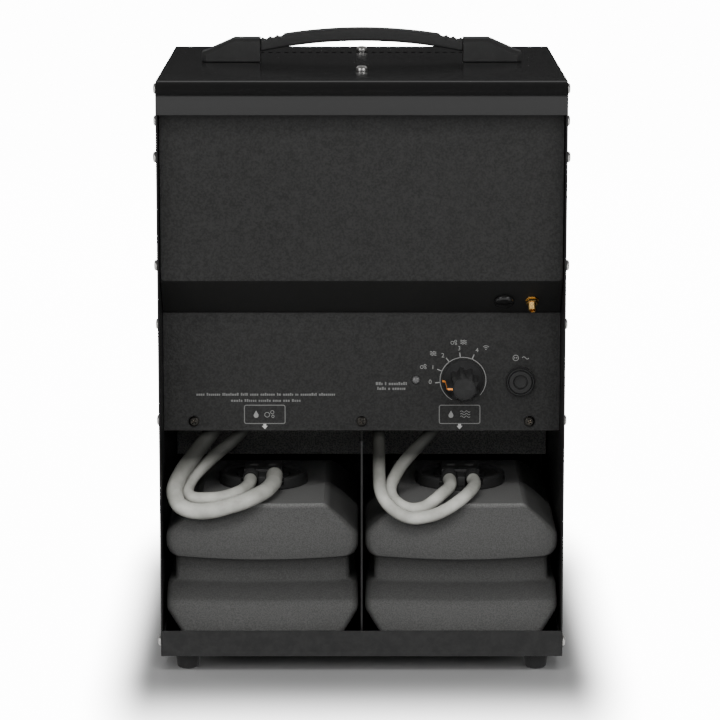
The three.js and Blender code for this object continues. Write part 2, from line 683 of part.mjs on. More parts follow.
// ---- air ----
function fanFrame() {
  const { x, z, half, y, depth } = fan;
  return plateInXZ(x - half, x + half, z - half, z + half, y, y + depth, [circleHole(x, z, 42.5)]);
}

function fanMotorAndArms() {
  const { x, z, y } = fan;
  return join(rodAlongY(x, z, 14, y, y + 5, 16), [
    box(x - 43.2, x + 43.2, y, y + 3, z - 2, z + 2),
    box(x - 2, x + 2, y, y + 3, z - 43.2, z + 43.2),
  ]);
}

function fanRotor() {
  const { x, z, y, depth } = fan;
  const blades = 7;
  const hub = rodAlongY(0, 0, 15, y + 6, y + depth - 1, 20);
  const vanes = [];
  for (let i = 0; i < blades; i += 1) {
    const vane = new THREE.BoxGeometry(28, 1.6, 17).rotateX(0.7).translate(26, y + 15.5, 0);
    vanes.push(vane.rotateY((i * 2 * Math.PI) / blades));
  }
  return join(hub, vanes).translate(x, 0, z);
}

// ---- pumps and heater ----
function bubblePump() {
  const head = rodAlongZ(-95, fromRear(130), 26, deckTop + gap, deckTop + 28, 20);
  const motor = rodAlongZ(-95, fromRear(130), 16, deckTop + 27, deckTop + 70, 16);
  const ports = [-1, 1].map((i) => rodAlongY(-95 + i * 10, deckTop + 14, 4, fromRear(92), fromRear(112), 10));
  return join(head, [motor, ...ports]);
}

function hazePump() {
  const y = fromRear(96);
  const coil = box(-10, 26, y, y + 44, deckTop + 4, deckTop + 46);
  return join(coil, [
    rodAlongY(8, deckTop + 25, 9, y - 5, y + 66, 16),
    box(-14, 30, y + 8, y + 36, deckTop + gap, deckTop + 6),
  ]);
}

const heater = { x0: 76, x1: 124, y0: fromRear(92), y1: fromRear(190), z0: 195, z1: 235 };

function heaterBlock() {
  const { x0, x1, y0, y1, z0, z1 } = heater;
  const inset = 7;
  const block = box(x0 + inset, x1 - inset, y0 + inset, y1 - inset, z0 + inset, z1 - inset);
  return join(block, [rodAlongY((x0 + x1) / 2, nozzle.z, 5, y0 - 4, y0 + 20, 12)]);
}

function heaterJacket() {
  const { x0, x1, y0, y1, z0, z1 } = heater;
  const wall = 2;
  const tube = cut(box(x0, x1, y0, y1, z0, z1), [
    box(x0 + wall, x1 - wall, y0 - 5, y1 + 5, z0 + wall, z1 - wall)]);
  const feet = [y0 + 8, y1 - 18].map((y) => box(x0 + 12, x1 - 12, y, y + 10, deckTop + gap, z0 + 1));
  return join(tube, feet);
}

function hazeNozzle() {
  const start = heater.y1 - 7 + gap;
  const profile = [
    [4, start], [6, start], [6, fromRear(280)], [9.5, fromRear(286)], [9.5, frontFace - 0.4],
    [7.5, frontFace - 0.4], [4, fromRear(284)],
  ];
  return turned([...profile, profile[0]], 20).rotateX(-Math.PI / 2).translate(nozzle.x, 0, nozzle.z);
}

// ---- electrics ----
function powerSupply() {
  const body = box(-140, -78, fromRear(26), fromRear(90), 330, 425);
  return join(body, [box(-140, -78, fromRear(upperPanelSet + sheet) + gap, fromRear(27), 322, 430)]);
}

function controlBoard() {
  const y0 = fromRear(60);
  const board = box(-66, 66, y0, y0 + 1.6, 318, 428);
  return join(board, [
    box(-58, -30, y0 - 18, y0 + 1, 330, 362), box(-20, 4, y0 - 12, y0 + 1, 330, 354),
    box(14, 30, y0 - 20, y0 + 1, 372, 388), box(-50, -34, y0 - 14, y0 + 1, 388, 410),
    box(36, 60, y0 - 10, y0 + 1, 326, 338),
  ]);
}

function wirelessReceiver() {
  const y0 = fromRear(46);
  return join(box(88, 140, y0, y0 + 1.6, 318, 366), [
    box(98, 116, y0 - 3, y0 + 1, 334, 350), box(120, 132, y0 - 8, y0 + 1, 322, 330)]);
}

// ---- assembly ----
addPart('left_side_panel', sidePanel(-1), satinBlack);
addPart('right_side_panel', sidePanel(1), satinBlack);
addPart('top_cover', topCover(), satinBlack);
addPart('base_tray', baseTray(), satinBlack);
addPart('rear_upper_panel', rearUpperPanel(), powder);
addPart('connector_panel', connectorPanel(), satinBlack);
addPart('control_panel', controlPanel(), powder);
addPart('equipment_deck', equipmentDeck(), satinBlack);
addPart('wet_bay_bulkhead', wetBayBulkhead(), powder);
addPart('front_panel', frontPanel(), powder);
addPart('bay_divider', bayDivider(), satinBlack);
addPart('outlet_ring', outletRing(), moulded);
for (const [side, x] of [['left', -131], ['right', 131]]) {
  addPart(`rear_foot_${side}`, foot(x, fromRear(20)), rubber);
  addPart(`front_foot_${side}`, foot(x, fromRear(275)), rubber);
}

addPart('handle_grip', handleGrip(), rubber);
addPart('handle_mount_left', handleMount(-1), moulded);
addPart('handle_mount_right', handleMount(1), moulded);

addPart('mode_knob', modeKnob(), moulded);
addPart('switch_shaft', switchShaft(), zinc);
addPart('rotary_switch', rotarySwitch(), moulded);
addPart('status_led', statusLed(), lensPlastic);
addPart('cable_gland', cableGland(), moulded);
addPart('fuse_holder', fuseHolder(), moulded);
addPart('fuse_cap', fuseCap(), moulded);
addPart('antenna_socket', antennaSocket(), gold);
addPart('side_screw_left', sideScrew(-1), chrome);
addPart('side_screw_right', sideScrew(1), chrome);
addPart('panel_screw_left', panelScrew(-panelScrews.spacing), chrome);
addPart('panel_screw_middle', panelScrew(0), chrome);
addPart('panel_screw_right', panelScrew(panelScrews.spacing), chrome);

for (const [name, side] of [['left', -1], ['right', 1]]) {
  addPart(`${name}_bottle`, bottle(side), bottlePlastic);
  addPart(`${name}_cap`, cap(side), moulded);
  addPart(`${name}_hose_manifold`, hoseManifold(side), moulded);
  addPart(`${name}_pickup_tube`, pickupTube(side), palePlastic);
}
for (const line of hoses) addPart(line.name, hose(line), silicone);
addPart('bubble_line_bulkhead', hoseBulkhead(-116, -62, 16), moulded);
addPart('haze_line_bulkhead', hoseBulkhead(6, 79, 6.5), moulded);

addPart('bubble_wheel', bubbleWheel(), palePlastic);
addPart('wheel_shaft', wheelShaft(), chrome);
addPart('wheel_motor', wheelMotor(), zinc);
addPart('fluid_trough', fluidTrough(), moulded);
addPart('fan_frame', join(fanFrame(), [fanMotorAndArms()]), moulded);
addPart('fan_rotor', fanRotor(), moulded);
addPart('bubble_pump', bubblePump(), moulded);
addPart('haze_pump', hazePump(), zinc);
addPart('heater_block', heaterBlock(), aluminium);
addPart('heater_jacket', heaterJacket(), zinc);
addPart('haze_nozzle', hazeNozzle(), aluminium);
addPart('power_supply', powerSupply(), zinc);
addPart('control_board', controlBoard(), boardGreen);
addPart('wireless_receiver', wirelessReceiver(), boardGreen);

export default machine;
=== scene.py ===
# Bubble and haze machine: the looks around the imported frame.
import json
import math
import random

import bmesh
import bpy
from mathutils import Matrix, Vector


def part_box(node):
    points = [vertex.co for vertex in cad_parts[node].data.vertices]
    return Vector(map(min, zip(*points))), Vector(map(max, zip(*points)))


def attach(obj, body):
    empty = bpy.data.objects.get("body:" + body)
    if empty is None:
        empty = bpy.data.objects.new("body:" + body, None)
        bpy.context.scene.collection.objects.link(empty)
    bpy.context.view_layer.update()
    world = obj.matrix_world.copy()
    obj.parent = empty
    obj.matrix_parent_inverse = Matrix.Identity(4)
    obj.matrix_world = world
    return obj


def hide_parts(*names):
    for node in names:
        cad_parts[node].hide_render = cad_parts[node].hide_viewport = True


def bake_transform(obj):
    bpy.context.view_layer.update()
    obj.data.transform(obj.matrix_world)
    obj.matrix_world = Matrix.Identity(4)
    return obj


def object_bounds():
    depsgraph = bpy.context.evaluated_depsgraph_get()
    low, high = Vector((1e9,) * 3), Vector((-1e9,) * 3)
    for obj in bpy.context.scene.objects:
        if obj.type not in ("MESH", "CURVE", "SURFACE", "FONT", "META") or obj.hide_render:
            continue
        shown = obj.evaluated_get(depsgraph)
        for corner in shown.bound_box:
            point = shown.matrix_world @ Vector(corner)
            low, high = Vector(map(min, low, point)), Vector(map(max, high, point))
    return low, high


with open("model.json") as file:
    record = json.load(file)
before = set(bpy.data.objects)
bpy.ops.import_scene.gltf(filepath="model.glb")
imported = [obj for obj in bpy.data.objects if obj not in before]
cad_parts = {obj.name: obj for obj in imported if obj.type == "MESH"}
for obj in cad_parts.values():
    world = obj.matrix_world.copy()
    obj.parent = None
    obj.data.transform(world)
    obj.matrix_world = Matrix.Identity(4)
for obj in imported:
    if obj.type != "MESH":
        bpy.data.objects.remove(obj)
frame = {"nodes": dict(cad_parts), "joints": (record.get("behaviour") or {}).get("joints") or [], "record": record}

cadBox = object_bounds()
scene = bpy.context.scene
mm = 0.001
fullSize = Matrix.Scale(mm, 4)
rearward = Vector((0, -1, 0))  # the way the control side faces
forward = Vector((0, 1, 0))  # the way the outlets face
upward = Vector((0, 0, 1))
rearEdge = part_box("left_side_panel")[0].y


# camera: far off, a little above, square to the control side
cameraSettings = {
    "lens": 168.95,
    "height": 0.6931,
    "distance": 2.444,  # from the rear edges of the case
    "tilt": 79.47,
    "shift": -0.0024,
}


def addCamera():
    data = bpy.data.cameras.new("camera")
    data.lens = cameraSettings["lens"]
    data.sensor_width = 36
    data.shift_x = cameraSettings["shift"]
    camera = bpy.data.objects.new("camera", data)
    camera.location = (0, rearEdge - cameraSettings["distance"], cameraSettings["height"])
    camera.rotation_euler = (math.radians(cameraSettings["tilt"]), 0, 0)
    scene.collection.objects.link(camera)
    scene.camera = camera


addCamera()
print("camera set")


# finishes: groups of nodes that several of them share
def newGroup(name, inputs, outputs):
    group = bpy.data.node_groups.new(name, "ShaderNodeTree")
    for label, kind, value in inputs:
        socket = group.interface.new_socket(name=label, in_out="INPUT", socket_type=kind)
        if value is not None:
            socket.default_value = value
    for label, kind in outputs:
        group.interface.new_socket(name=label, in_out="OUTPUT", socket_type=kind)
    return group, group.nodes.new("NodeGroupInput"), group.nodes.new("NodeGroupOutput")


def mathNode(tree, operation, *values, clamp=False):
    node = tree.nodes.new("ShaderNodeMath")
    node.operation = operation
    node.use_clamp = clamp
    for socket, value in zip(node.inputs, values):
        if isinstance(value, bpy.types.NodeSocket):
            tree.links.new(value, socket)
        else:
            socket.default_value = value
    return node.outputs[0]


def noiseNode(tree, vector, scale, detail=3.0, roughness=0.55):
    node = tree.nodes.new("ShaderNodeTexNoise")
    tree.links.new(vector, node.inputs["Vector"])
    if isinstance(scale, bpy.types.NodeSocket):
        tree.links.new(scale, node.inputs["Scale"])
    else:
        node.inputs["Scale"].default_value = scale
    node.inputs["Detail"].default_value = detail
    node.inputs["Roughness"].default_value = roughness
    return node.outputs["Fac"]


def rangeNode(tree, value, low, high, toLow=0.0, toHigh=1.0):
    node = tree.nodes.new("ShaderNodeMapRange")
    tree.links.new(value, node.inputs["Value"])
    for label, number in (("From Min", low), ("From Max", high), ("To Min", toLow), ("To Max", toHigh)):
        node.inputs[label].default_value = number
    return node.outputs["Result"]


# a fine pebbled skin: Height for a bump, Speckle for colour and gloss
def makeGrainGroup():
    group, into, out = newGroup("grain", [
        ("Vector", "NodeSocketVector", None), ("Scale", "NodeSocketFloat", 1000.0),
        ("Pebble", "NodeSocketFloat", 0.5),
    ], [("Height", "NodeSocketFloat"), ("Speckle", "NodeSocketFloat")])
    fine = noiseNode(group, into.outputs["Vector"], into.outputs["Scale"], 1.0, 0.5)
    cells = group.nodes.new("ShaderNodeTexVoronoi")
    group.links.new(into.outputs["Vector"], cells.inputs["Vector"])
    group.links.new(into.outputs["Scale"], cells.inputs["Scale"])
    pebbles = mathNode(group, "MULTIPLY", cells.outputs["Distance"], into.outputs["Pebble"])
    group.links.new(mathNode(group, "SUBTRACT", fine, pebbles), out.inputs["Height"])
    broad = noiseNode(group, into.outputs["Vector"], 9.0, 4.0)
    patches = mathNode(group, "MULTIPLY", rangeNode(group, broad, 0.35, 0.7), 0.13)
    group.links.new(mathNode(group, "ADD", mathNode(group, "MULTIPLY", rangeNode(group, fine, 0.38, 0.62),
                                                    0.87), patches),
                    out.inputs["Speckle"])
    return group


# rubbed edges and a painted edge highlight, from how far the surface bulges, broken up by noise
def makeWearGroup():
    group, into, out = newGroup("edgeWearAndHighlight", [
        ("Vector", "NodeSocketVector", None), ("Amount", "NodeSocketFloat", 0.5),
    ], [("Mask", "NodeSocketFloat")])
    shape = group.nodes.new("ShaderNodeNewGeometry")
    edges = rangeNode(group, shape.outputs["Pointiness"], 0.52, 0.62)
    broken = rangeNode(group, noiseNode(group, into.outputs["Vector"], 160.0, 5.0, 0.7), 0.4, 0.65)
    group.links.new(mathNode(group, "MULTIPLY", mathNode(group, "MULTIPLY", edges, broken),
                             into.outputs["Amount"]),
                    out.inputs["Mask"])
    return group


# a little dust on what faces up
def makeDustGroup():
    group, into, out = newGroup("dust", [
        ("Vector", "NodeSocketVector", None), ("Amount", "NodeSocketFloat", 0.1),
    ], [("Mask", "NodeSocketFloat")])
    shape = group.nodes.new("ShaderNodeNewGeometry")
    parts = group.nodes.new("ShaderNodeSeparateXYZ")
    group.links.new(shape.outputs["Normal"], parts.inputs["Vector"])
    facesUp = rangeNode(group, parts.outputs["Z"], 0.35, 1.0)
    specks = rangeNode(group, noiseNode(group, into.outputs["Vector"], 420.0, 6.0, 0.75), 0.45, 0.75)
    clouds = rangeNode(group, noiseNode(group, into.outputs["Vector"], 22.0, 3.0), 0.3, 0.7)
    mask = mathNode(group, "MULTIPLY", mathNode(group, "MULTIPLY", specks, clouds), facesUp)
    group.links.new(mathNode(group, "MULTIPLY", mask, into.outputs["Amount"]), out.inputs["Mask"])
    return group


grainGroup = makeGrainGroup()
wearAndHighlightGroup = makeWearGroup()
dustGroup = makeDustGroup()


def placeGroup(tree, group, vector, **values):
    node = tree.nodes.new("ShaderNodeGroup")
    node.node_tree = group
    tree.links.new(vector, node.inputs["Vector"])
    for label, value in values.items():
        node.inputs[label].default_value = value
    return node


def mixColors(tree, mask, first, second):
    node = tree.nodes.new("ShaderNodeMix")
    node.data_type = "RGBA"
    tree.links.new(mask, node.inputs["Factor"])
    for label, value in (("A", first), ("B", second)):
        socket = next(s for s in node.inputs if s.name == label and s.type == "RGBA")
        if isinstance(value, bpy.types.NodeSocket):
            tree.links.new(value, socket)
        else:
            socket.default_value = (*value, 1)
    return next(s for s in node.outputs if s.type == "RGBA")


# what a user would change on a finish: colours are linear, grain is (cells per metre, pebble, depth in mm)
finishes = {
    "texturedPowder": {"color": (0.0068, 0.0068, 0.0066), "speckle": (0.0185, 0.0185, 0.0181),
                       "roughness": 0.58,
                       "grain": (760, 0.55, 0.14), "wearAndHighlight": 0.25, "dust": 0.05, "specular": 0.3},
    "satinPowder": {"color": (0.009, 0.009, 0.009), "speckle": (0.0115, 0.0115, 0.0115), "roughness": 0.42,
                    "grain": (2400, 0.3, 0.012), "wearAndHighlight": 0.35, "dust": 0.06, "specular": 0.35},
    "glossPowder": {"color": (0.0040, 0.0040, 0.0040), "speckle": (0.0056, 0.0056, 0.0056), "roughness": 0.16,
                    "grain": (2000, 0.2, 0.006), "wearAndHighlight": 0.0, "dust": 0.05, "specular": 0.36},
    "bayPowder": {"color": (0.07, 0.07, 0.068), "speckle": (0.185, 0.185, 0.179), "roughness": 0.6,
                  "grain": (820, 0.5, 0.10), "wearAndHighlight": 0.1, "dust": 0.0},
    "shadowPowder": {"color": (0.0085, 0.0085, 0.0083), "speckle": (0.0125, 0.0125, 0.0122), "roughness": 0.6,
                     "grain": (900, 0.5, 0.05), "wearAndHighlight": 0.1, "dust": 0.0, "specular": 0.2},
    "bottlePlastic": {"color": (0.040, 0.040, 0.0389), "speckle": (0.063, 0.063, 0.0613), "roughness": 0.62,
                      "grain": (1150, 0.4, 0.11), "wearAndHighlight": 0.3, "dust": 0.03, "specular": 0.3},
    "capPlastic": {"color": (0.014, 0.014, 0.014), "speckle": (0.021, 0.021, 0.021), "roughness": 0.4,
                   "grain": (1800, 0.4, 0.03), "wearAndHighlight": 0.2, "dust": 0.06, "specular": 0.35},
    "mouldedBlack": {"color": (0.0105, 0.0105, 0.0105), "speckle": (0.0160, 0.0160, 0.0160),
                     "roughness": 0.46,
                     "grain": (1500, 0.5, 0.03), "wearAndHighlight": 0.3, "dust": 0.05, "specular": 0.38},
    "knobPlastic": {"color": (0.0170, 0.0170, 0.0170), "speckle": (0.0220, 0.0220, 0.0220), "roughness": 0.4,
                    "grain": (2200, 0.4, 0.012), "wearAndHighlight": 0.3, "dust": 0.02, "specular": 0.12},
    "glossPlastic": {"color": (0.006, 0.006, 0.006), "speckle": (0.009, 0.009, 0.009), "roughness": 0.2,
                     "grain": (2500, 0.2, 0.004), "wearAndHighlight": 0.1, "dust": 0.03},
    "gripRubber": {"color": (0.0120, 0.0120, 0.0120), "speckle": (0.0190, 0.0190, 0.0190), "roughness": 0.6,
                   "grain": (1400, 0.6, 0.05), "wearAndHighlight": 0.25, "dust": 0.08, "specular": 0.38},
    "footRubber": {"color": (0.006, 0.006, 0.006), "speckle": (0.010, 0.010, 0.010), "roughness": 0.75,
                   "grain": (1200, 0.6, 0.06), "wearAndHighlight": 0.2, "dust": 0.1},
    "zincSteel": {"color": (0.42, 0.42, 0.40), "speckle": (0.56, 0.56, 0.53), "roughness": 0.38,
                  "metallic": 1.0,
                  "grain": (260, 0.9, 0.01), "wearAndHighlight": 0.1, "dust": 0.05},
    "screwSteel": {"color": (0.62, 0.61, 0.59), "speckle": (0.74, 0.73, 0.71), "roughness": 0.34,
                   "metallic": 1.0,
                   "grain": (1800, 0.3, 0.006), "wearAndHighlight": 0.2, "dust": 0.0},
    "blackScrew": {"color": (0.030, 0.029, 0.027), "speckle": (0.060, 0.056, 0.050), "roughness": 0.36,
                   "metallic": 1.0,
                   "grain": (2000, 0.3, 0.008), "wearAndHighlight": 1.0, "dust": 0.0, "edgeTint": (0.42, 0.34, 0.26)},
    "gold": {"color": (0.80, 0.50, 0.16), "speckle": (0.90, 0.61, 0.24), "roughness": 0.22, "metallic": 1.0,
             "grain": (2200, 0.3, 0.004), "wearAndHighlight": 0.1, "dust": 0.0},
    "castAluminium": {"color": (0.50, 0.51, 0.52), "speckle": (0.60, 0.61, 0.62), "roughness": 0.42,
                      "metallic": 1.0,
                      "grain": (900, 0.5, 0.04), "wearAndHighlight": 0.2, "dust": 0.03},
    "palePlastic": {"color": (0.60, 0.60, 0.57), "speckle": (0.68, 0.68, 0.65), "roughness": 0.36,
                    "grain": (1600, 0.3, 0.01), "wearAndHighlight": 0.1, "dust": 0.05},
    "sealRubber": {"color": (0.0090, 0.0090, 0.0090), "speckle": (0.0140, 0.0140, 0.0138), "roughness": 0.5,
                   "grain": (1600, 0.5, 0.02), "wearAndHighlight": 0.0, "dust": 0.02, "specular": 0.35},
    "panelInk": {"color": (0.185, 0.185, 0.181), "speckle": (0.225, 0.225, 0.220), "roughness": 0.5,
                 "grain": (2600, 0.3, 0.01), "wearAndHighlight": 0.0, "dust": 0.0},
    "dimInk": {"color": (0.105, 0.105, 0.103), "speckle": (0.130, 0.130, 0.127), "roughness": 0.5,
               "grain": (2600, 0.3, 0.01), "wearAndHighlight": 0.0, "dust": 0.0},
    "whiteInk": {"color": (0.40, 0.40, 0.39), "speckle": (0.47, 0.47, 0.46), "roughness": 0.5,
                 "grain": (2600, 0.3, 0.01), "wearAndHighlight": 0.0, "dust": 0.0},
    "orangeInk": {"color": (0.78, 0.24, 0.03), "speckle": (0.86, 0.30, 0.05), "roughness": 0.42,
                  "grain": (2600, 0.3, 0.01), "wearAndHighlight": 0.0, "dust": 0.0},
    "darkComponent": {"color": (0.018, 0.018, 0.020), "speckle": (0.03, 0.03, 0.032), "roughness": 0.4,
                      "grain": (1900, 0.4, 0.02), "wearAndHighlight": 0.1, "dust": 0.03},
}
wornAndLitEdgeColor = (0.045, 0.045, 0.044)
dustColor = (0.12, 0.115, 0.105)


def startMaterial(name):
    material = bpy.data.materials.new(name)
    material.use_nodes = True
    tree = material.node_tree
    place = tree.nodes.new("ShaderNodeTexCoord")
    return material, tree, tree.nodes["Principled BSDF"], place.outputs["Object"]


def addBump(tree, shader, height, depth):
    bump = tree.nodes.new("ShaderNodeBump")
    bump.inputs["Strength"].default_value = 1.0
    bump.inputs["Distance"].default_value = depth * mm
    tree.links.new(height, bump.inputs["Height"])
    tree.links.new(bump.outputs["Normal"], shader.inputs["Normal"])


def makeFinish(name, look):
    material, tree, shader, vector = startMaterial(name)
    cells, pebble, depth = look["grain"]
    grain = placeGroup(tree, grainGroup, vector, Scale=cells, Pebble=pebble)
    color = mixColors(tree, grain.outputs["Speckle"], look["color"], look["speckle"])
    roughness = rangeNode(tree, grain.outputs["Speckle"], 0.0, 1.0, look["roughness"] - 0.05,
                          look["roughness"] + 0.06)
    # rubbed edges in a lighter colour, partly real wear and partly a painted highlight along the edges
    if look["wearAndHighlight"]:
        wearAndHighlight = placeGroup(tree, wearAndHighlightGroup, vector, Amount=look["wearAndHighlight"])
        brighter = [channel * 1.5 for channel in look["color"]]
        edgeTint = look.get("edgeTint") or (brighter if look.get("metallic") else wornAndLitEdgeColor)
        color = mixColors(tree, wearAndHighlight.outputs["Mask"], color, edgeTint)
    if look["dust"]:
        dust = placeGroup(tree, dustGroup, vector, Amount=look["dust"])
        color = mixColors(tree, dust.outputs["Mask"], color, dustColor)
        roughness = mathNode(tree, "ADD", roughness, dust.outputs["Mask"], clamp=True)
    tree.links.new(color, shader.inputs["Base Color"])
    tree.links.new(roughness, shader.inputs["Roughness"])
    shader.inputs["Metallic"].default_value = look.get("metallic", 0.0)
    shader.inputs["Specular IOR Level"].default_value = look.get("specular", 0.5)
    addBump(tree, shader, grain.outputs["Height"], depth)
    return material


# cloudy silicone: milky, darkened by painted shade toward the deck, where the control panel above shades it, and
# rougher there with less coat
hoseLook = {"most": 0.975, "clear": (0.33, 0.33, 0.30), "milky": (0.52, 0.52, 0.478),
            "paintedShade": (0.012, 0.012, 0.0107),
            "paintedShadeFrom": 0.131, "paintedShadeTo": 0.158}


def makeHoseMaterial():
    material, tree, shader, vector = startMaterial("cloudySilicone")
    grain = placeGroup(tree, grainGroup, vector, Scale=500, Pebble=0.2)
    clouds = rangeNode(tree, noiseNode(tree, vector, 60.0, 4.0), 0.35, 0.7)
    color = mixColors(tree, clouds, hoseLook["clear"], hoseLook["milky"])
    paintedShade = tree.nodes.new("ShaderNodeAttribute")
    paintedShade.attribute_name = "paintedShade"
    shadeMask = paintedShade.outputs["Fac"]
    # painted shade: the colour darkened as far as the attribute says
    tree.links.new(mixColors(tree, shadeMask, color, hoseLook["paintedShade"]), shader.inputs["Base Color"])
    tree.links.new(rangeNode(tree, shadeMask, 0.0, 1.0, 0.26, 0.6), shader.inputs["Roughness"])
    tree.links.new(rangeNode(tree, shadeMask, 0.0, 1.0, 0.45, 0.0), shader.inputs["Coat Weight"])
    shader.inputs["Coat Roughness"].default_value = 0.14
    shader.inputs["Specular IOR Level"].default_value = 0.3
    addBump(tree, shader, grain.outputs["Height"], 0.006)
    return material


# circuit board: green lacquer over a faint pattern of tracks
def makeBoardMaterial():
    material, tree, shader, vector = startMaterial("circuitBoard")
    tracks = tree.nodes.new("ShaderNodeTexBrick")
    mapping = tree.nodes.new("ShaderNodeMapping")
    mapping.inputs["Rotation"].default_value = (math.radians(90), 0, 0)
    tree.links.new(vector, mapping.inputs["Vector"])
    tree.links.new(mapping.outputs["Vector"], tracks.inputs["Vector"])
    tracks.inputs["Scale"].default_value = 130.0
    tracks.inputs["Mortar Size"].default_value = 0.06
    tracks.inputs["Color1"].default_value = (0.006, 0.055, 0.022, 1)
    tracks.inputs["Color2"].default_value = (0.008, 0.070, 0.028, 1)
    tracks.inputs["Mortar"].default_value = (0.020, 0.135, 0.060, 1)
    dust = placeGroup(tree, dustGroup, vector, Amount=0.1)
    tree.links.new(mixColors(tree, dust.outputs["Mask"], tracks.outputs["Color"], dustColor),
                   shader.inputs["Base Color"])
    shader.inputs["Roughness"].default_value = 0.3
    addBump(tree, shader, tracks.outputs["Fac"], 0.03)
    return material


# frosted lens, unlit
def makeLensMaterial():
    material, tree, shader, vector = startMaterial("frostedLens")
    grain = placeGroup(tree, grainGroup, vector, Scale=1900, Pebble=0.6)
    color = mixColors(tree, grain.outputs["Speckle"], (0.055, 0.055, 0.055), (0.14, 0.14, 0.14))
    tree.links.new(color, shader.inputs["Base Color"])
    shader.inputs["Roughness"].default_value = 0.32
    shader.inputs["Subsurface Weight"].default_value = 0.3
    shader.inputs["Subsurface Radius"].default_value = (0.002, 0.002, 0.002)
    addBump(tree, shader, grain.outputs["Height"], 0.05)
    return material


# bottles: blow-moulded; their colour is scaled by height in metres as painted shade and light: darker over the
# lower slope and the finger groove, lighter low down and much lighter on the top
bottlePaintedShading = [(0.050, 1.3), (0.0545, 0.72), (0.065, 0.45), (0.068, 0.74), (0.082, 0.72), (0.0845, 1.0),
               (0.1225, 1.0),
               (0.1250, 2.0)]


def makeBottleMaterial():
    material = makeFinish("bottlePlastic", finishes["bottlePlastic"])
    tree = material.node_tree
    shader = tree.nodes["Principled BSDF"]
    plain = shader.inputs["Base Color"].links[0].from_socket
    place = next(node for node in tree.nodes if node.type == "TEX_COORD")
    parts = tree.nodes.new("ShaderNodeSeparateXYZ")
    tree.links.new(place.outputs["Object"], parts.inputs["Vector"])
    # painted shade and light: a curve over height that scales the plastic's colour
    curve = tree.nodes.new("ShaderNodeFloatCurve")
    top = 0.14
    points = curve.mapping.curves[0].points
    points[0].location, points[1].location = (0, 0.65), (1, 1)
    for height, shadingFactor in bottlePaintedShading:
        points.new(height / top, shadingFactor / 2).handle_type = "VECTOR"
    curve.mapping.update()
    tree.links.new(mathNode(tree, "DIVIDE", parts.outputs["Z"], top), curve.inputs["Value"])
    shadingFactor = mathNode(tree, "MULTIPLY", curve.outputs["Value"], 2.0)
    scaled = tree.nodes.new("ShaderNodeVectorMath")
    scaled.operation = "SCALE"
    tree.links.new(plain, scaled.inputs[0])
    tree.links.new(shadingFactor, scaled.inputs["Scale"])
    tree.links.new(scaled.outputs["Vector"], shader.inputs["Base Color"])
    return material


materials = {name: makeFinish(name, look) for name, look in finishes.items() if name != "bottlePlastic"}
materials["bottlePlastic"] = makeBottleMaterial()
materials["cloudySilicone"] = makeHoseMaterial()
materials["circuitBoard"] = makeBoardMaterial()
materials["frostedLens"] = makeLensMaterial()
print("finishes made:", len(materials))


# shaping
def pointing(direction, at, turn=0.0):
    # a matrix that takes a piece drawn in millimetres about +Z to its place
    facing = Vector(direction).to_track_quat("Z", "Y").to_matrix().to_4x4()
    return Matrix.Translation(at) @ facing @ Matrix.Rotation(turn, 4, "Z") @ fullSize


def middleOf(node):
    low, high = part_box(node)
    return (low + high) / 2


def skinned(rings, ringClosed=True, endsClosed=True, tube=False):
    # faces between rings of points; tube joins the last ring to the first
    shape = bmesh.new()
    loops = [[shape.verts.new(point) for point in ring] for ring in rings]
    pairs = list(zip(loops, loops[1:])) + ([(loops[-1], loops[0])] if tube else [])
    for near, far in pairs:
        count = len(near)
        for i in range(count if ringClosed else count - 1):
            j = (i + 1) % count
            shape.faces.new((near[i], near[j], far[j], far[i]))
    if endsClosed and not tube:
        shape.faces.new(list(reversed(loops[0])))
        shape.faces.new(loops[-1])
    bmesh.ops.recalc_face_normals(shape, faces=shape.faces)
    return shape


def rounded(points, radius, steps=3, closed=True):
    # every corner of a flat outline becomes a short curve
    made = []
    count = len(points)
    for i, corner in enumerate(points):
        if not closed and i in (0, count - 1):
            made.append(Vector(corner))
            continue
        corner = Vector(corner)
        before, after = Vector(points[i - 1]) - corner, Vector(points[(i + 1) % count]) - corner
        reach = min(radius, before.length * 0.45, after.length * 0.45)
        start, end = corner + before.normalized() * reach, corner + after.normalized() * reach
        for k in range(steps + 1):
            share = k / steps
            made.append(start * (1 - share) ** 2 + corner * 2 * share * (1 - share) + end * share ** 2)
    return made


def circle(radius, height, count, start=0.0):
    turns = [start + 2 * math.pi * i / count for i in range(count)]
    return [Vector((radius * math.cos(t), radius * math.sin(t), height)) for t in turns]


def turned(profile, place, segments=48, fillet=0.4, closed=False):
    # a profile of (radius, height) in millimetres, turned about the place's own Z
    outline = rounded(profile, fillet, 3, closed)
    rings = [[place @ point for point in circle(radius, height, segments)] for radius, height in outline]
    return skinned(rings, tube=closed)


def extruded(outline, place, low, high):
    # an outline in millimetres, raised from low to high along the place's own Z
    return skinned([[place @ Vector((*point[:2], level)) for point in outline] for level in (low, high)])


def block(low, high, place=None, ease=0.4):
    # a box between two corners with eased edges, in millimetres
    place = place or fullSize
    shape = bmesh.new()
    bmesh.ops.create_cube(shape, size=1)
    size = [b - a for a, b in zip(low, high)]
    middle = [(a + b) / 2 for a, b in zip(low, high)]
    for vertex in shape.verts:
        vertex.co = Vector([m + c * s for m, c, s in zip(middle, vertex.co, size)])
    if ease:
        bmesh.ops.bevel(shape, geom=list(shape.edges), offset=ease, segments=2, profile=0.6, affect="EDGES")
    shape.transform(place)
    return shape


def joined(shapes):
    # several shapes as one, each still a closed skin
    whole = bmesh.new()
    for shape in shapes:
        part = bpy.data.meshes.new("part")
        shape.to_mesh(part)
        shape.free()
        whole.from_mesh(part)
        bpy.data.meshes.remove(part)
    return whole


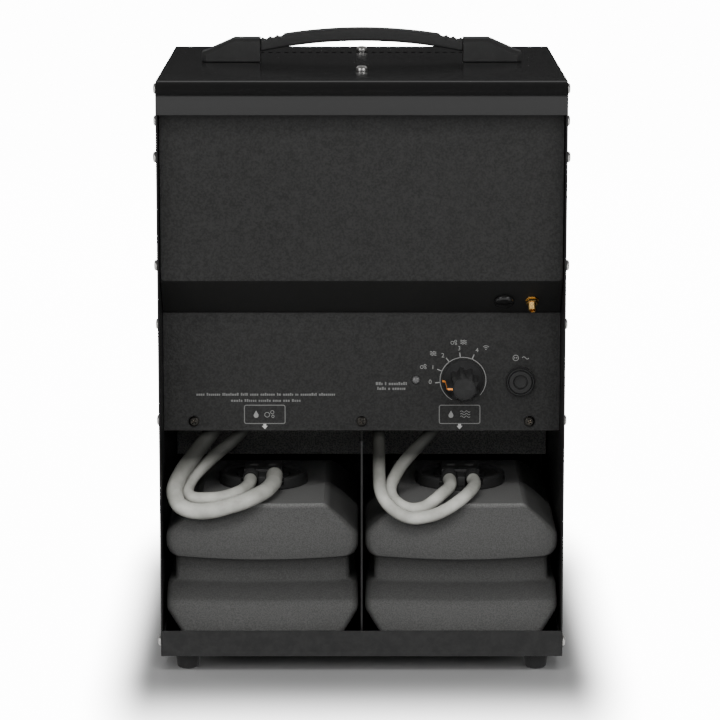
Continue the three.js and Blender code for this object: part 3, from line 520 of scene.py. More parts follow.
def workObject(shape, name="work"):
    mesh = bpy.data.meshes.new(name)
    if isinstance(shape, bmesh.types.BMesh):
        shape.to_mesh(mesh)
        shape.free()
    else:
        mesh = shape
    worked = bpy.data.objects.new(name, mesh)
    scene.collection.objects.link(worked)
    return worked


def finished(worked, *others):
    # the evaluated shape as a plain mesh; the working objects go
    graph = bpy.context.evaluated_depsgraph_get()
    mesh = bpy.data.meshes.new_from_object(worked.evaluated_get(graph))
    for used in (worked, *others):
        bpy.data.objects.remove(used)
    return mesh


def combined(first, others, operation):
    # a true cut or union of closed shapes
    worked = workObject(first)
    helpers = [workObject(shape, "helper") for shape in others]
    for helper in helpers:
        modifier = worked.modifiers.new(operation, "BOOLEAN")
        modifier.operation = operation
        modifier.solver = "EXACT"
        modifier.object = helper
    bpy.context.view_layer.update()
    return finished(worked, *helpers)


def eased(worked, width, segments=2, angle=30):
    bevel = worked.modifiers.new("bevel", "BEVEL")
    bevel.width = width * mm
    bevel.segments = segments
    bevel.limit_method = "ANGLE"
    bevel.angle_limit = math.radians(angle)
    bevel.use_clamp_overlap = True
    return finished(worked)


def smooth(mesh, angle=40):
    mesh.shade_smooth()
    mesh.set_sharp_from_angle(angle=math.radians(angle))


def weighted(mesh):
    # flat faces keep a flat shade right up to their eased edges
    worked = workObject(mesh)
    modifier = worked.modifiers.new("normals", "WEIGHTED_NORMAL")
    modifier.keep_sharp = True
    return finished(worked)


def addPiece(name, shape, finish, body="root", standsFor=(), angle=40, flatFaces=False):
    # a new piece: its mesh made smooth, its finish, the body it rides on and the nodes it stands for
    mesh = shape
    if isinstance(shape, bmesh.types.BMesh):
        mesh = bpy.data.meshes.new(name)
        shape.to_mesh(mesh)
        shape.free()
    smooth(mesh, angle)
    if flatFaces:
        mesh = weighted(mesh)
    mesh.name = name
    mesh.materials.clear()
    mesh.materials.append(materials[finish])
    piece = bpy.data.objects.new(name, mesh)
    scene.collection.objects.link(piece)
    if body:
        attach(piece, body)
    if standsFor:
        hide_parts(*standsFor)
    return piece


def mergedCopy(node):
    # the node's loose triangles as one skin with whole flat faces
    shape = bmesh.new()
    shape.from_mesh(frame["nodes"][node].data)
    bmesh.ops.remove_doubles(shape, verts=shape.verts, dist=1e-6)
    bmesh.ops.dissolve_limit(shape, angle_limit=math.radians(0.4), verts=shape.verts, edges=shape.edges)
    return shape


nodeSlots = {entry["node"]: entry["material_slot"] for entry in frame["record"]["subparts"]}


def easedCopy(node, finish, width, body="root", name=None):
    mesh = eased(workObject(mergedCopy(node)), width)
    return addPiece(name or f"{node}_finished", mesh, finish, body, [node], flatFaces=True)


# repeats: three node trees that copy a shape over points, round an axis or along a line
def startTree(name, inputs):
    tree = bpy.data.node_groups.new(name, "GeometryNodeTree")
    tree.interface.new_socket(name="Geometry", in_out="INPUT", socket_type="NodeSocketGeometry")
    for label, kind, value in inputs:
        socket = tree.interface.new_socket(name=label, in_out="INPUT", socket_type=kind)
        if value is not None:
            socket.default_value = value
    tree.interface.new_socket(name="Geometry", in_out="OUTPUT", socket_type="NodeSocketGeometry")
    return tree, tree.nodes.new("NodeGroupInput"), tree.nodes.new("NodeGroupOutput")


def endTree(tree, into, out, instances):
    realize = tree.nodes.new("GeometryNodeRealizeInstances")
    dress = tree.nodes.new("GeometryNodeSetMaterial")
    tree.links.new(instances, realize.inputs["Geometry"])
    tree.links.new(realize.outputs["Geometry"], dress.inputs["Geometry"])
    tree.links.new(into.outputs["Finish"], dress.inputs["Material"])
    tree.links.new(dress.outputs["Geometry"], out.inputs["Geometry"])


def sourceNode(tree, into):
    info = tree.nodes.new("GeometryNodeObjectInfo")
    tree.links.new(into.outputs["Shape"], info.inputs["Object"])
    return info.outputs["Geometry"]


def makeFacingTree():
    tree, into, out = startTree("facingCopies", [
        ("Shape", "NodeSocketObject", None), ("Size", "NodeSocketFloat", 1.0),
        ("Seed", "NodeSocketInt", 0), ("Finish", "NodeSocketMaterial", None)])
    facing = tree.nodes.new("GeometryNodeInputNamedAttribute")
    facing.data_type = "FLOAT_VECTOR"
    facing.inputs["Name"].default_value = "facing"
    align = tree.nodes.new("FunctionNodeAlignRotationToVector")
    align.axis = "Z"
    tree.links.new(facing.outputs["Attribute"], align.inputs["Vector"])
    place = tree.nodes.new("GeometryNodeInstanceOnPoints")
    tree.links.new(into.outputs["Geometry"], place.inputs["Points"])
    tree.links.new(sourceNode(tree, into), place.inputs["Instance"])
    tree.links.new(align.outputs["Rotation"], place.inputs["Rotation"])
    tree.links.new(into.outputs["Size"], place.inputs["Scale"])
    chance = tree.nodes.new("FunctionNodeRandomValue")
    chance.data_type = "FLOAT"
    limits = [s for s in chance.inputs if s.type == "VALUE"]
    limits[0].default_value = 0.0
    limits[1].default_value = math.pi
    tree.links.new(into.outputs["Seed"], chance.inputs["Seed"])
    twist = tree.nodes.new("ShaderNodeCombineXYZ")
    tree.links.new(next(s for s in chance.outputs if s.type == "VALUE"), twist.inputs["Z"])
    turn = tree.nodes.new("GeometryNodeRotateInstances")
    tree.links.new(place.outputs["Instances"], turn.inputs["Instances"])
    tree.links.new(twist.outputs["Vector"], turn.inputs["Rotation"])
    endTree(tree, into, out, turn.outputs["Instances"])
    return tree


def makeRoundTree():
    tree, into, out = startTree("copiesRound", [
        ("Shape", "NodeSocketObject", None), ("Count", "NodeSocketInt", 8),
        ("Radius", "NodeSocketFloat", 0.01),
        ("Step", "NodeSocketFloat", 1.0), ("Finish", "NodeSocketMaterial", None)])
    ring = tree.nodes.new("GeometryNodeMeshCircle")
    tree.links.new(into.outputs["Count"], ring.inputs["Vertices"])
    tree.links.new(into.outputs["Radius"], ring.inputs["Radius"])
    index = tree.nodes.new("GeometryNodeInputIndex")
    angle = mathNode(tree, "MULTIPLY", index.outputs["Index"], into.outputs["Step"])
    spin = tree.nodes.new("ShaderNodeCombineXYZ")
    tree.links.new(angle, spin.inputs["Z"])
    place = tree.nodes.new("GeometryNodeInstanceOnPoints")
    tree.links.new(ring.outputs["Mesh"], place.inputs["Points"])
    tree.links.new(sourceNode(tree, into), place.inputs["Instance"])
    tree.links.new(spin.outputs["Vector"], place.inputs["Rotation"])
    endTree(tree, into, out, place.outputs["Instances"])
    return tree


def makeRowTree():
    tree, into, out = startTree("copiesInRow", [
        ("Shape", "NodeSocketObject", None), ("Count", "NodeSocketInt", 8),
        ("Start", "NodeSocketVector", None),
        ("Spacing", "NodeSocketVector", None), ("Finish", "NodeSocketMaterial", None)])
    line = tree.nodes.new("GeometryNodeMeshLine")
    line.mode = "OFFSET"
    tree.links.new(into.outputs["Count"], line.inputs["Count"])
    tree.links.new(into.outputs["Start"], line.inputs["Start Location"])
    tree.links.new(into.outputs["Spacing"], line.inputs["Offset"])
    place = tree.nodes.new("GeometryNodeInstanceOnPoints")
    tree.links.new(line.outputs["Mesh"], place.inputs["Points"])
    tree.links.new(sourceNode(tree, into), place.inputs["Instance"])
    endTree(tree, into, out, place.outputs["Instances"])
    return tree


trees = {"facing": makeFacingTree(), "round": makeRoundTree(), "row": makeRowTree()}


def repeated(tree, shape, finish, carrier=None, **settings):
    # runs one of the trees over a carrier mesh and gives back the copies as one mesh
    source = workObject(shape, "source")
    worked = workObject(carrier or bpy.data.meshes.new("empty"), "carrier")
    modifier = worked.modifiers.new("copies", "NODES")
    modifier.node_group = trees[tree]
    values = {"Shape": source, "Finish": materials[finish], **settings}
    for item in trees[tree].interface.items_tree:
        if item.in_out == "INPUT" and item.name in values:
            modifier[item.identifier] = values[item.name]
    bpy.context.view_layer.update()
    return finished(worked, source)


def asShape(mesh, place=None):
    shape = bmesh.new()
    shape.from_mesh(mesh)
    if place:
        shape.transform(place)
    bpy.data.meshes.remove(mesh)
    return shape


# hoses: metres, from the cut-outs in the deck to the barbs on the caps
hoseSettings = {"wall": 1.6, "sides": 24, "step": 0.0022, "swell": 0.35}
hoseRoutes = {
    "bubble_return_hose": {"diameter": 0.0122, "body": "left_bottle", "overBarb": 0.0178, "route": [
        (-0.102, -0.082, 0.190), (-0.107, -0.086, 0.182), (-0.113, -0.091, 0.1735), (-0.121, -0.0985, 0.164),
        (-0.127, -0.106, 0.157), (-0.133, -0.113, 0.150), (-0.138, -0.121, 0.142), (-0.140, -0.1275, 0.1365),
        (-0.139, -0.133, 0.132), (-0.136, -0.138, 0.1275), (-0.130, -0.1405, 0.1245), (-0.120, -0.141, 0.123),
        (-0.110, -0.141, 0.124), (-0.099, -0.141, 0.127), (-0.088, -0.139, 0.130), (-0.079, -0.133, 0.133),
        (-0.072, -0.122, 0.1345), (-0.068, -0.107, 0.1355), (-0.0665, -0.097, 0.1355),
        (-0.0665, -0.0895, 0.1355)]},
    "bubble_feed_hose": {"diameter": 0.0095, "body": "left_bottle", "overBarb": 0.0012, "route": [
        (-0.075, -0.080, 0.190), (-0.082, -0.0835, 0.182), (-0.090, -0.087, 0.1735), (-0.099, -0.091, 0.165),
        (-0.108, -0.095, 0.158), (-0.1165, -0.0985, 0.151), (-0.1235, -0.104, 0.145),
        (-0.1285, -0.111, 0.1395),
        (-0.1305, -0.119, 0.1345), (-0.1285, -0.126, 0.1315), (-0.124, -0.131, 0.1308),
        (-0.116, -0.132, 0.1308),
        (-0.107, -0.1315, 0.1312), (-0.098, -0.1275, 0.1325), (-0.090, -0.119, 0.134),
        (-0.086, -0.108, 0.135),
        (-0.0845, -0.098, 0.1355), (-0.0845, -0.0895, 0.1355)]},
    "haze_feed_hose": {"diameter": 0.0095, "body": "right_bottle", "overBarb": 0.0012, "route": [
        (0.013, -0.076, 0.190), (0.013, -0.083, 0.182), (0.013, -0.0905, 0.1735), (0.013, -0.102, 0.161),
        (0.013, -0.117, 0.146), (0.014, -0.128, 0.136), (0.018, -0.1355, 0.129), (0.024, -0.1405, 0.124),
        (0.031, -0.142, 0.120), (0.039, -0.1422, 0.118), (0.047, -0.1422, 0.119), (0.055, -0.142, 0.121),
        (0.064, -0.1405, 0.125), (0.072, -0.136, 0.1295), (0.079, -0.1265, 0.133), (0.084, -0.1115, 0.135),
        (0.0853, -0.0985, 0.1355), (0.0845, -0.0895, 0.1355)]},
    "haze_return_hose": {"diameter": 0.0095, "body": "right_bottle", "overBarb": 0.0012, "route": [
        (0.071, -0.080, 0.190), (0.063, -0.0835, 0.182), (0.054, -0.087, 0.1735), (0.045, -0.091, 0.1645),
        (0.037, -0.095, 0.1565), (0.030, -0.0995, 0.149), (0.025, -0.106, 0.142), (0.022, -0.113, 0.137),
        (0.0215, -0.120, 0.133), (0.024, -0.127, 0.129), (0.030, -0.1315, 0.125), (0.037, -0.133, 0.123),
        (0.046, -0.133, 0.1242), (0.053, -0.1322, 0.1284), (0.060, -0.125, 0.1328), (0.065, -0.1135, 0.1344),
        (0.067, -0.1005, 0.1353), (0.0665, -0.0895, 0.1355)]},
}


def curveThrough(points, step):
    # a smooth line through the points, with knots spaced by the root of their distance
    padded = [points[0] * 2 - points[1], *points, points[-1] * 2 - points[-2]]
    line = []
    for a, b, c, d in zip(padded, padded[1:], padded[2:], padded[3:]):
        gaps = [max((second - first).length ** 0.5, 1e-6) for first, second in ((a, b), (b, c), (c, d))]
        leave = ((b - a) / gaps[0] - (c - a) / (gaps[0] + gaps[1]) + (c - b) / gaps[1]) * gaps[1]
        arrive = ((c - b) / gaps[1] - (d - b) / (gaps[1] + gaps[2]) + (d - c) / gaps[2]) * gaps[1]
        count = max(2, round((c - b).length / step))
        for i in range(count):
            t = i / count
            line.append(b * (2 * t ** 3 - 3 * t ** 2 + 1) + leave * (t ** 3 - 2 * t ** 2 + t)
                        + c * (3 * t ** 2 - 2 * t ** 3) + arrive * (t ** 3 - t ** 2))
    line.append(points[-1])
    return line


def tubeAlong(line, radiusAt, sides, bore=0.0):
    # a tube whose section never twists; with a bore its walls show at the ends
    tangents = [(line[min(i + 1, len(line) - 1)] - line[max(i - 1, 0)]).normalized()
                for i in range(len(line))]
    side = tangents[0].orthogonal().normalized()
    outer, inner = [], []
    for i, (point, along) in enumerate(zip(line, tangents)):
        side = (side - along * side.dot(along)).normalized()
        up = along.cross(side)
        ring = [side * math.cos(t) + up * math.sin(t)
                for t in (2 * math.pi * k / sides for k in range(sides))]
        radius = radiusAt(i)
        outer.append([point + offset * radius for offset in ring])
        inner.append([point + offset * (radius - bore) for offset in ring])
    if not bore:
        return skinned(outer)
    return skinned(outer + list(reversed(inner)), tube=True)


def addHose(name, facts):
    points = [Vector(point) for point in facts["route"]]
    points.append(points[-1] + forward * facts["overBarb"])
    line = curveThrough(points, hoseSettings["step"])
    radius = facts["diameter"] / 2
    swellFrom = len(line) - round(0.012 / hoseSettings["step"])

    def radiusAt(i):
        # the end is stretched over the rings of the barb
        over = max(0.0, (i - swellFrom) / (len(line) - swellFrom))
        ripple = 0.5 - 0.5 * math.cos(over * 4 * math.pi)
        lip = 0.82 if i in (0, len(line) - 1) else 1.0
        swell = hoseSettings["swell"] * mm * (0.4 * min(1, over * 3) + 0.6 * ripple * (over > 0))
        return (radius + swell) * lip ** 0.2

    shape = tubeAlong(line, radiusAt, hoseSettings["sides"], hoseSettings["wall"] * mm)
    piece = addPiece(f"{name}_tube", shape, "cloudySilicone", None, [name], angle=50)
    # how much painted shade each point takes, more toward the deck, kept on the mesh so that it moves with the
    # hose
    paintedShade = piece.data.attributes.new("paintedShade", "FLOAT", "POINT")
    for entry, vertex in zip(paintedShade.data, piece.data.vertices):
        share = (vertex.co.z - hoseLook["paintedShadeFrom"]) / (hoseLook["paintedShadeTo"] - hoseLook["paintedShadeFrom"])
        entry.value = hoseLook["most"] * min(1, max(0, share))
    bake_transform(piece)


for hoseName, hoseFacts in hoseRoutes.items():
    addHose(hoseName, hoseFacts)
print("hoses laid")


# case: folded sheets with eased edges
sheetSettings = {
    "left_side_panel": ("satinPowder", 0.4),
    "right_side_panel": ("satinPowder", 0.4),
    "base_tray": ("satinPowder", 0.55),
    "rear_upper_panel": ("texturedPowder", 0.4),
    "control_panel": ("texturedPowder", 0.5),
    "connector_panel": ("shadowPowder", 0.4),
    "wet_bay_bulkhead": ("bayPowder", 0.3),
    "front_panel": ("texturedPowder", 0.4),
    "equipment_deck": ("satinPowder", 0.3),
    "bay_divider": ("satinPowder", 0.3),
    "rotary_switch": ("darkComponent", 0.4),
    "switch_shaft": ("zincSteel", 0.2),
    "fuse_holder": ("mouldedBlack", 0.4),
    "bubble_line_bulkhead": ("mouldedBlack", 0.3),
    "haze_line_bulkhead": ("mouldedBlack", 0.3),
    "fluid_trough": ("mouldedBlack", 0.6),
    "fan_frame": ("darkComponent", 0.5),
    "bubble_pump": ("mouldedBlack", 0.5),
    "haze_pump": ("zincSteel", 0.4),
    "wheel_motor": ("zincSteel", 0.4),
    "heater_jacket": ("zincSteel", 0.4),
    "heater_block": ("castAluminium", 0.4),
    "power_supply": ("zincSteel", 0.4),
    "left_pickup_tube": ("palePlastic", 0.3),
    "right_pickup_tube": ("palePlastic", 0.3),
}
bodyOf = {node: body for body, facts in frame["record"]["behaviour"]["bodies"].items()
          for node in (facts if isinstance(facts, list) else facts["nodes"])}

for sheetName, (sheetFinish, sheetEase) in sheetSettings.items():
    easedCopy(sheetName, sheetFinish, sheetEase, bodyOf[sheetName])

# top cover: one sheet bent down at both ends, with a row of slots near the far one
coverSettings = {"sheet": 1.2, "bend": 11, "flangeBottom": 419.6, "slots": 26, "pitch": 6.28,
                 "slotWidth": 3.1,
                 "slotFrom": 228, "slotTo": 236}


def bendPoints(y, z, radius, start, end, steps=14):
    turns = [math.radians(start + (end - start) * k / steps) for k in range(steps + 1)]
    return [(y + radius * math.cos(t), z + radius * math.sin(t)) for t in turns]


def addCover():
    facts = coverSettings
    low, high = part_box("top_cover")
    back, front, top = low.y / mm, high.y / mm, high.z / mm
    radius, inner = facts["bend"], facts["bend"] - facts["sheet"]
    bendZ = top - radius
    outline = [(back, facts["flangeBottom"]), (back + facts["sheet"], facts["flangeBottom"]),
               *bendPoints(back + radius, bendZ, inner, 180, 90),
               *bendPoints(front - radius, bendZ, inner, 90, 0),
               (front - facts["sheet"], facts["flangeBottom"]), (front, facts["flangeBottom"]),
               *bendPoints(front - radius, bendZ, radius, 0, 90),
               *bendPoints(back + radius, bendZ, radius, 90, 180)]
    ends = (low.x / mm, high.x / mm)
    sheet = skinned([[Vector((x, y, z)) * mm for y, z in outline] for x in ends])
    first = -facts["pitch"] * (facts["slots"] - 1) / 2
    depth = (facts["slotFrom"] + facts["slotTo"]) / 2
    slot = block((-facts["slotWidth"] / 2, -4, -5), (facts["slotWidth"] / 2, 4, 5), ease=0)
    slots = repeated("row", slot, "glossPowder", Count=facts["slots"],
                     Start=(first * mm, rearEdge + depth * mm, top * mm),
                     Spacing=(facts["pitch"] * mm, 0, 0))
    mesh = combined(sheet, [asShape(slots)], "DIFFERENCE")
    addPiece("top_cover_sheet", mesh, "glossPowder", "root", ["top_cover"], angle=35)


addCover()


# the front panel's folded edges, turned back along the sides
foldSettings = {"depth": 12, "inner": 147.2, "outer": 148.78, "low": 31, "high": 430}
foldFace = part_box("front_panel")[1].y / mm
folds = [block((min(side * foldSettings["inner"], side * foldSettings["outer"]),
                foldFace - foldSettings["depth"],
                foldSettings["low"]),
               (max(side * foldSettings["inner"], side * foldSettings["outer"]), foldFace,
                foldSettings["high"]))
         for side in (-1, 1)]
addPiece("front_panel_folds", joined(folds), "texturedPowder", "root")
print("case dressed")


# bottles: sections from the base up, in millimetres from the rear edges of the case; flank is the half
# width behind the finger groove, ease how softly one slope runs into the next
bottleSections = [
    {"z": 15, "half": 53.5, "front": 12, "back": 184, "crown": 4, "corner": 6, "flank": 53.5, "ease": 0},
    {"z": 16.5, "half": 54.6, "front": 10.8, "back": 186, "crown": 4, "corner": 6, "flank": 54.6,
     "ease": 1.2},
    {"z": 45.5, "half": 72.1, "front": 10, "back": 199, "crown": 5, "corner": 6, "flank": 72.1, "ease": 2.5},
    {"z": 52.5, "half": 72.1, "front": 9.7, "back": 200, "crown": 5, "corner": 6, "flank": 72.1, "ease": 1.4},
    {"z": 65, "half": 71.4, "front": 19.2, "back": 199, "crown": 5, "corner": 5, "flank": 71.4, "ease": 2},
    {"z": 67.4, "half": 65.4, "front": 19.8, "back": 194, "crown": 5, "corner": 4, "flank": 69.6,
     "ease": 1.2},
    {"z": 85.4, "half": 65.2, "front": 20, "back": 192, "crown": 5, "corner": 4, "flank": 69.4, "ease": 2},
    {"z": 87, "half": 66.4, "front": 10.0, "back": 198, "crown": 6, "corner": 6, "flank": 69.6, "ease": 0.6},
    {"z": 88.8, "half": 69.2, "front": 9.8, "back": 199, "crown": 6, "corner": 6, "flank": 70, "ease": 1.2},
    {"z": 94, "half": 72.1, "front": 9.6, "back": 200, "crown": 6, "corner": 6, "flank": 72.1, "ease": 4},
    {"z": 104, "half": 72.1, "front": 11.0, "back": 200, "crown": 6, "corner": 6, "flank": 72.1, "ease": 3},
    {"z": 116, "half": 59.5, "front": 15.2, "back": 197, "crown": 3.6, "corner": 4.5, "flank": 59.5,
     "ease": 3},
    {"z": 123, "half": 50.5, "front": 17.9, "back": 190, "crown": 2.6, "corner": 3, "flank": 50.5, "ease": 2},
    {"z": 126, "half": 46, "front": 19.4, "back": 165, "crown": 2, "corner": 2.5, "flank": 46, "ease": 1},
]
sectionKeys = ("z", "half", "front", "back", "crown", "corner", "flank")
bottleSettings = {
    "wall": 2.5, "middle": 74.5, "seam": 0.35, "flankFrom": 44, "flankTo": 58, "neckRadius": 24,
    "neckFrom": 124.5, "mouthRadius": 21, "mouthFrom": 110,
    "neckTop": 129.5, "capMiddle": 75.5, "capDepth": 96,
    "bow": 2.4, "bowFrom": 67.4, "bowMost": 86, "bowTo": 105, "bowDepth": 60,
}


def softLevels(sections, steps=4):
    # runs each level into the next through a short curve
    rows = [[section[key] for key in sectionKeys] for section in sections]
    made = [rows[0]]
    for before, row, after, section in zip(rows, rows[1:], rows[2:], sections[1:]):
        spans = [max(abs(other[0] - row[0]), 0.1 + abs(other[1] - row[1])) for other in (before, after)]
        shares = [min(0.45, section["ease"] / span) for span in spans]
        start = [value + (other - value) * shares[0] for value, other in zip(row, before)]
        end = [value + (other - value) * shares[1] for value, other in zip(row, after)]
        for k in range(steps + 1):
            t = k / steps
            made.append([a * (1 - t) ** 2 + value * 2 * t * (1 - t) + b * t ** 2
                         for a, value, b in zip(start, row, end)])
    made.append(rows[-1])
    return made


def bowAt(x, depth, z, half):
    facts = bottleSettings
    rise = (z - facts["bowFrom"]) / (facts["bowMost"] - facts["bowFrom"])
    fall = (facts["bowTo"] - z) / (facts["bowTo"] - facts["bowMost"])
    share = max(0, min(rise, fall, 1)) * max(0, 1 - depth / facts["bowDepth"])
    return facts["bow"] * share * (1 - (x / half) ** 2)


def bottleRing(level, middle, inset, lift):
    z, half, front, back, crown, corner, flank = level
    half, flank, corner = half - inset, flank - inset, max(corner - inset, 1.5)
    front, back = front + inset, back - inset
    flat = half - corner
    right = []
    for k in range(8):
        x = flat * k / 7
        right.append((x, front + crown * (x / half) ** 2))
    cornerDepth = right[-1][1] + corner
    for k in range(1, 9):
        turn = math.radians(-90 + 90 * k / 8)
        right.append((flat + corner * math.cos(turn), cornerDepth + corner * math.sin(turn)))
    seamDepth = (front + back) / 2
    depths = [bottleSettings["flankFrom"] + k * 3.5 for k in range(5)]
    depths += [80, seamDepth - 1.2, seamDepth - 0.5, seamDepth + 0.5, seamDepth + 1.2, back - corner - 6]
    for depth in depths:
        nearFlank, farFlank = bottleSettings["flankFrom"], bottleSettings["flankTo"]
        share = (depth - nearFlank) / (farFlank - nearFlank)
        share = min(1, max(0, share))
        share = share * share * (3 - 2 * share)
        seam = bottleSettings["seam"] if abs(depth - seamDepth) < 1 and not inset else 0
        right.append((half + (flank - half) * share + seam, max(depth, cornerDepth + 0.2)))
    for k in range(7):
        turn = math.radians(90 * k / 6)
        right.append((flank - corner + corner * math.cos(turn), back - corner + corner * math.sin(turn)))
    right.append(((flank - corner) / 2, back))
    left = [(-x, depth) for x, depth in reversed(right[1:])]
    ring = right + [(0, back)] + left
    rearMm = rearEdge / mm
    widest = max(half, flank) + 1
    return [Vector((middle + x, rearMm + depth, z + lift - bowAt(x, depth, z, widest))) * mm
            for x, depth in ring]


def addBottle(side, name):
    facts = bottleSettings
    middle, capMiddle = side * facts["middle"], side * facts["capMiddle"]
    levels = softLevels(bottleSections)
    outer = skinned([bottleRing(level, middle, 0, 0) for level in levels])
    wall = facts["wall"]
    hollow = [level for level in levels if levels[0][0] + wall + 1 < level[0] < levels[-1][0] - wall - 1]
    inner = skinned([bottleRing(levels[0], middle, wall + 1, wall),
                     *[bottleRing(level, middle, wall, 0) for level in hollow],
                     bottleRing(levels[-1], middle, wall, -wall)])
    neckPlace = Matrix.Translation((capMiddle * mm, rearEdge + facts["capDepth"] * mm, 0)) @ fullSize
    neck = skinned([[neckPlace @ point for point in circle(facts["neckRadius"], z, 72)]
                    for z in (facts["neckFrom"], facts["neckTop"])])
    mouth = skinned([[neckPlace @ point for point in circle(facts["mouthRadius"], z, 72)]
                     for z in (facts["mouthFrom"], facts["neckTop"] + 2)])
    whole = asShape(combined(outer, [neck], "UNION"))
    mesh = combined(whole, [inner, mouth], "DIFFERENCE")
    addPiece(f"{name}_moulding", mesh, "bottlePlastic", name, [name], angle=32)


# screw caps: a plain rim round a sunken top, notched where the hoses cross it
capSettings = {"radius": 34, "bottom": 126.3, "top": 134.7, "floor": 132.2,
               "notchHalf": 16.5, "notchTo": 80.6, "notchBottom": 129.5}


def addCap(side, name):
    facts = capSettings
    x, depth = side * bottleSettings["capMiddle"], bottleSettings["capDepth"]
    place = Matrix.Translation((x * mm, rearEdge + depth * mm, 0)) @ fullSize
    outer, top = facts["radius"], facts["top"]
    profile = [(20, facts["floor"]), (28.6, facts["floor"]), (29.8, top), (outer - 0.9, top),
               (outer, top - 1.1),
               (outer, facts["bottom"]), (24.3, facts["bottom"]), (24.3, 129.8), (20, 129.8)]
    rim = turned(profile, place, 120, 0.5, closed=True)
    rearMm = rearEdge / mm
    notch = block((x - facts["notchHalf"], rearMm + depth - 50, facts["notchBottom"]),
                  (x + facts["notchHalf"], rearMm + facts["notchTo"], 140), ease=0)
    mesh = combined(rim, [notch], "DIFFERENCE")
    addPiece(f"{name}_cap_moulding", mesh, "capPlastic", f"{name}_bottle", [f"{name}_cap"])


# hose blocks: a block with two ringed barbs, on a disc that plugs the neck
blockSettings = {"half": 14.5, "from": 78, "to": 111, "low": 133, "high": 139.5, "spacing": 9,
                 "height": 135.5,
                 "tip": 58.4, "barb": 4.7, "collar": 5.7, "pitch": 4}


def addHoseBlock(side, name):
    facts = blockSettings
    x, rearMm = side * bottleSettings["capMiddle"], rearEdge / mm
    place = Matrix.Translation((x * mm, rearEdge + bottleSettings["capDepth"] * mm, 0)) @ fullSize
    disc = turned([(0.01, 122), (19.6, 122), (19.6, 133.4), (0.01, 133.4)], place, 72, 0.5)
    body = block((x - facts["half"], rearMm + facts["from"], facts["low"]),
                 (x + facts["half"], rearMm + facts["to"], facts["high"]), ease=0.9)
    web = block((x - 3, rearMm + 61, 129.8), (x + 3, rearMm + facts["from"] + 2, 137.4), ease=0.7)
    length = facts["from"] - facts["tip"]
    barbs = []
    for i in (-1, 1):
        at = Vector((x + i * facts["spacing"], rearMm + facts["from"], facts["height"])) * mm
        profile = [(0.01, -2), (facts["barb"], -2), (facts["barb"], 1.6)]
        for k in range(4):
            start = 2.2 + facts["pitch"] * k
            profile += [(facts["collar"], start), (facts["collar"] - 0.1, start + 1.1),
                        (facts["barb"] - 0.2, start + 3.1),
                        (facts["barb"] - 0.2, start + facts["pitch"] - 0.3)]
        profile += [(facts["barb"] - 0.3, length), (0.01, length)]
        barbs.append(turned(profile, pointing(rearward, at), 40, 0.25))
    mesh = combined(disc, [body, web, *barbs], "UNION")
    addPiece(f"{name}_hose_block", mesh, "capPlastic", f"{name}_bottle",
             [f"{name}_hose_manifold"])
    marks = [block((x + i * 7 - 3, rearMm + 92, facts["high"] - 0.1),
                   (x + i * 7 + 3, rearMm + 97, facts["high"] + 0.05), ease=0)
             for i in (-1, 1)]
    arrow = extruded([(-1.7, 0.8), (0, -2.0), (1.7, 0.8)],
                     pointing(rearward, Vector((x, rearMm + facts["from"], facts["high"] - 3)) * mm), -0.1,
                     0.08)
    addPiece(f"{name}_block_marks", joined([*marks, arrow]), "dimInk", f"{name}_bottle")


for bottleSide, bottleName in ((-1, "left"), (1, "right")):
    addBottle(bottleSide, f"{bottleName}_bottle")
    addCap(bottleSide, bottleName)
    addHoseBlock(bottleSide, bottleName)
print("bottles made")


# carrying handle: an arch with finger ridges across its ends
handleSettings = {
    "depth": 163.5, "halfDepth": 10.9, "half": 77.7, "endTop": 461, "crownTop": 469, "endBottom": 451.2,
    "crownBottom": 459.3, "ridgesFrom": 60, "ridgePitch": 5.5, "ridges": 3, "ridgeDepth": 1.7,
    "tongueEnd": 89, "tongueTop": 457.5, "tongueBottom": 453,
}


def archHeight(x, half, end, crown):
    rise = crown - end
    radius = (half * half + rise * rise) / (2 * rise)
    return crown - radius + math.sqrt(radius * radius - x * x)


def gripRing(x, low, high, halfDepth, power=7):
    ring = []
    for k in range(48):
        turn = 2 * math.pi * k / 48
        across, up = math.cos(turn), math.sin(turn)
        stretch = (abs(across) ** power + abs(up) ** power) ** (-1 / power)
        depth = rearEdge / mm + handleSettings["depth"] + halfDepth * across * stretch
        ring.append(Vector((x, depth, (low + high) / 2 + (high - low) / 2 * up * stretch)) * mm)
    return ring


def addGrip():
    facts = handleSettings
    stations = [facts["half"] * (k / 120 - 1) for k in range(241)]
    ridgesTo = facts["ridgesFrom"] + facts["ridges"] * facts["ridgePitch"]
    rings = [gripRing(-facts["tongueEnd"], facts["tongueBottom"], facts["tongueTop"], 10),
             gripRing(-facts["half"] - 0.05, facts["tongueBottom"], facts["tongueTop"], 10)]
    for x in stations:
        top = archHeight(x, facts["half"], facts["endTop"], facts["crownTop"])
        if facts["ridgesFrom"] < abs(x) < ridgesTo:
            wave = (abs(x) - facts["ridgesFrom"]) / facts["ridgePitch"]
            top -= facts["ridgeDepth"] * abs(math.sin(math.pi * wave)) ** 0.7
        bottom = archHeight(x, facts["half"], facts["endBottom"], facts["crownBottom"])
        ends = min(1, (facts["half"] - abs(x)) / 1.2 + 0.35)
        easeIn = (1 - ends) * 1.1
        rings.append(gripRing(x, bottom + easeIn, top - easeIn, facts["halfDepth"] - easeIn))
    rings += [gripRing(facts["half"] + 0.05, facts["tongueBottom"], facts["tongueTop"], 10),
              gripRing(facts["tongueEnd"], facts["tongueBottom"], facts["tongueTop"], 10)]
    addPiece("handle_grip_moulding", skinned(rings), "gripRubber", "root", ["handle_grip"])


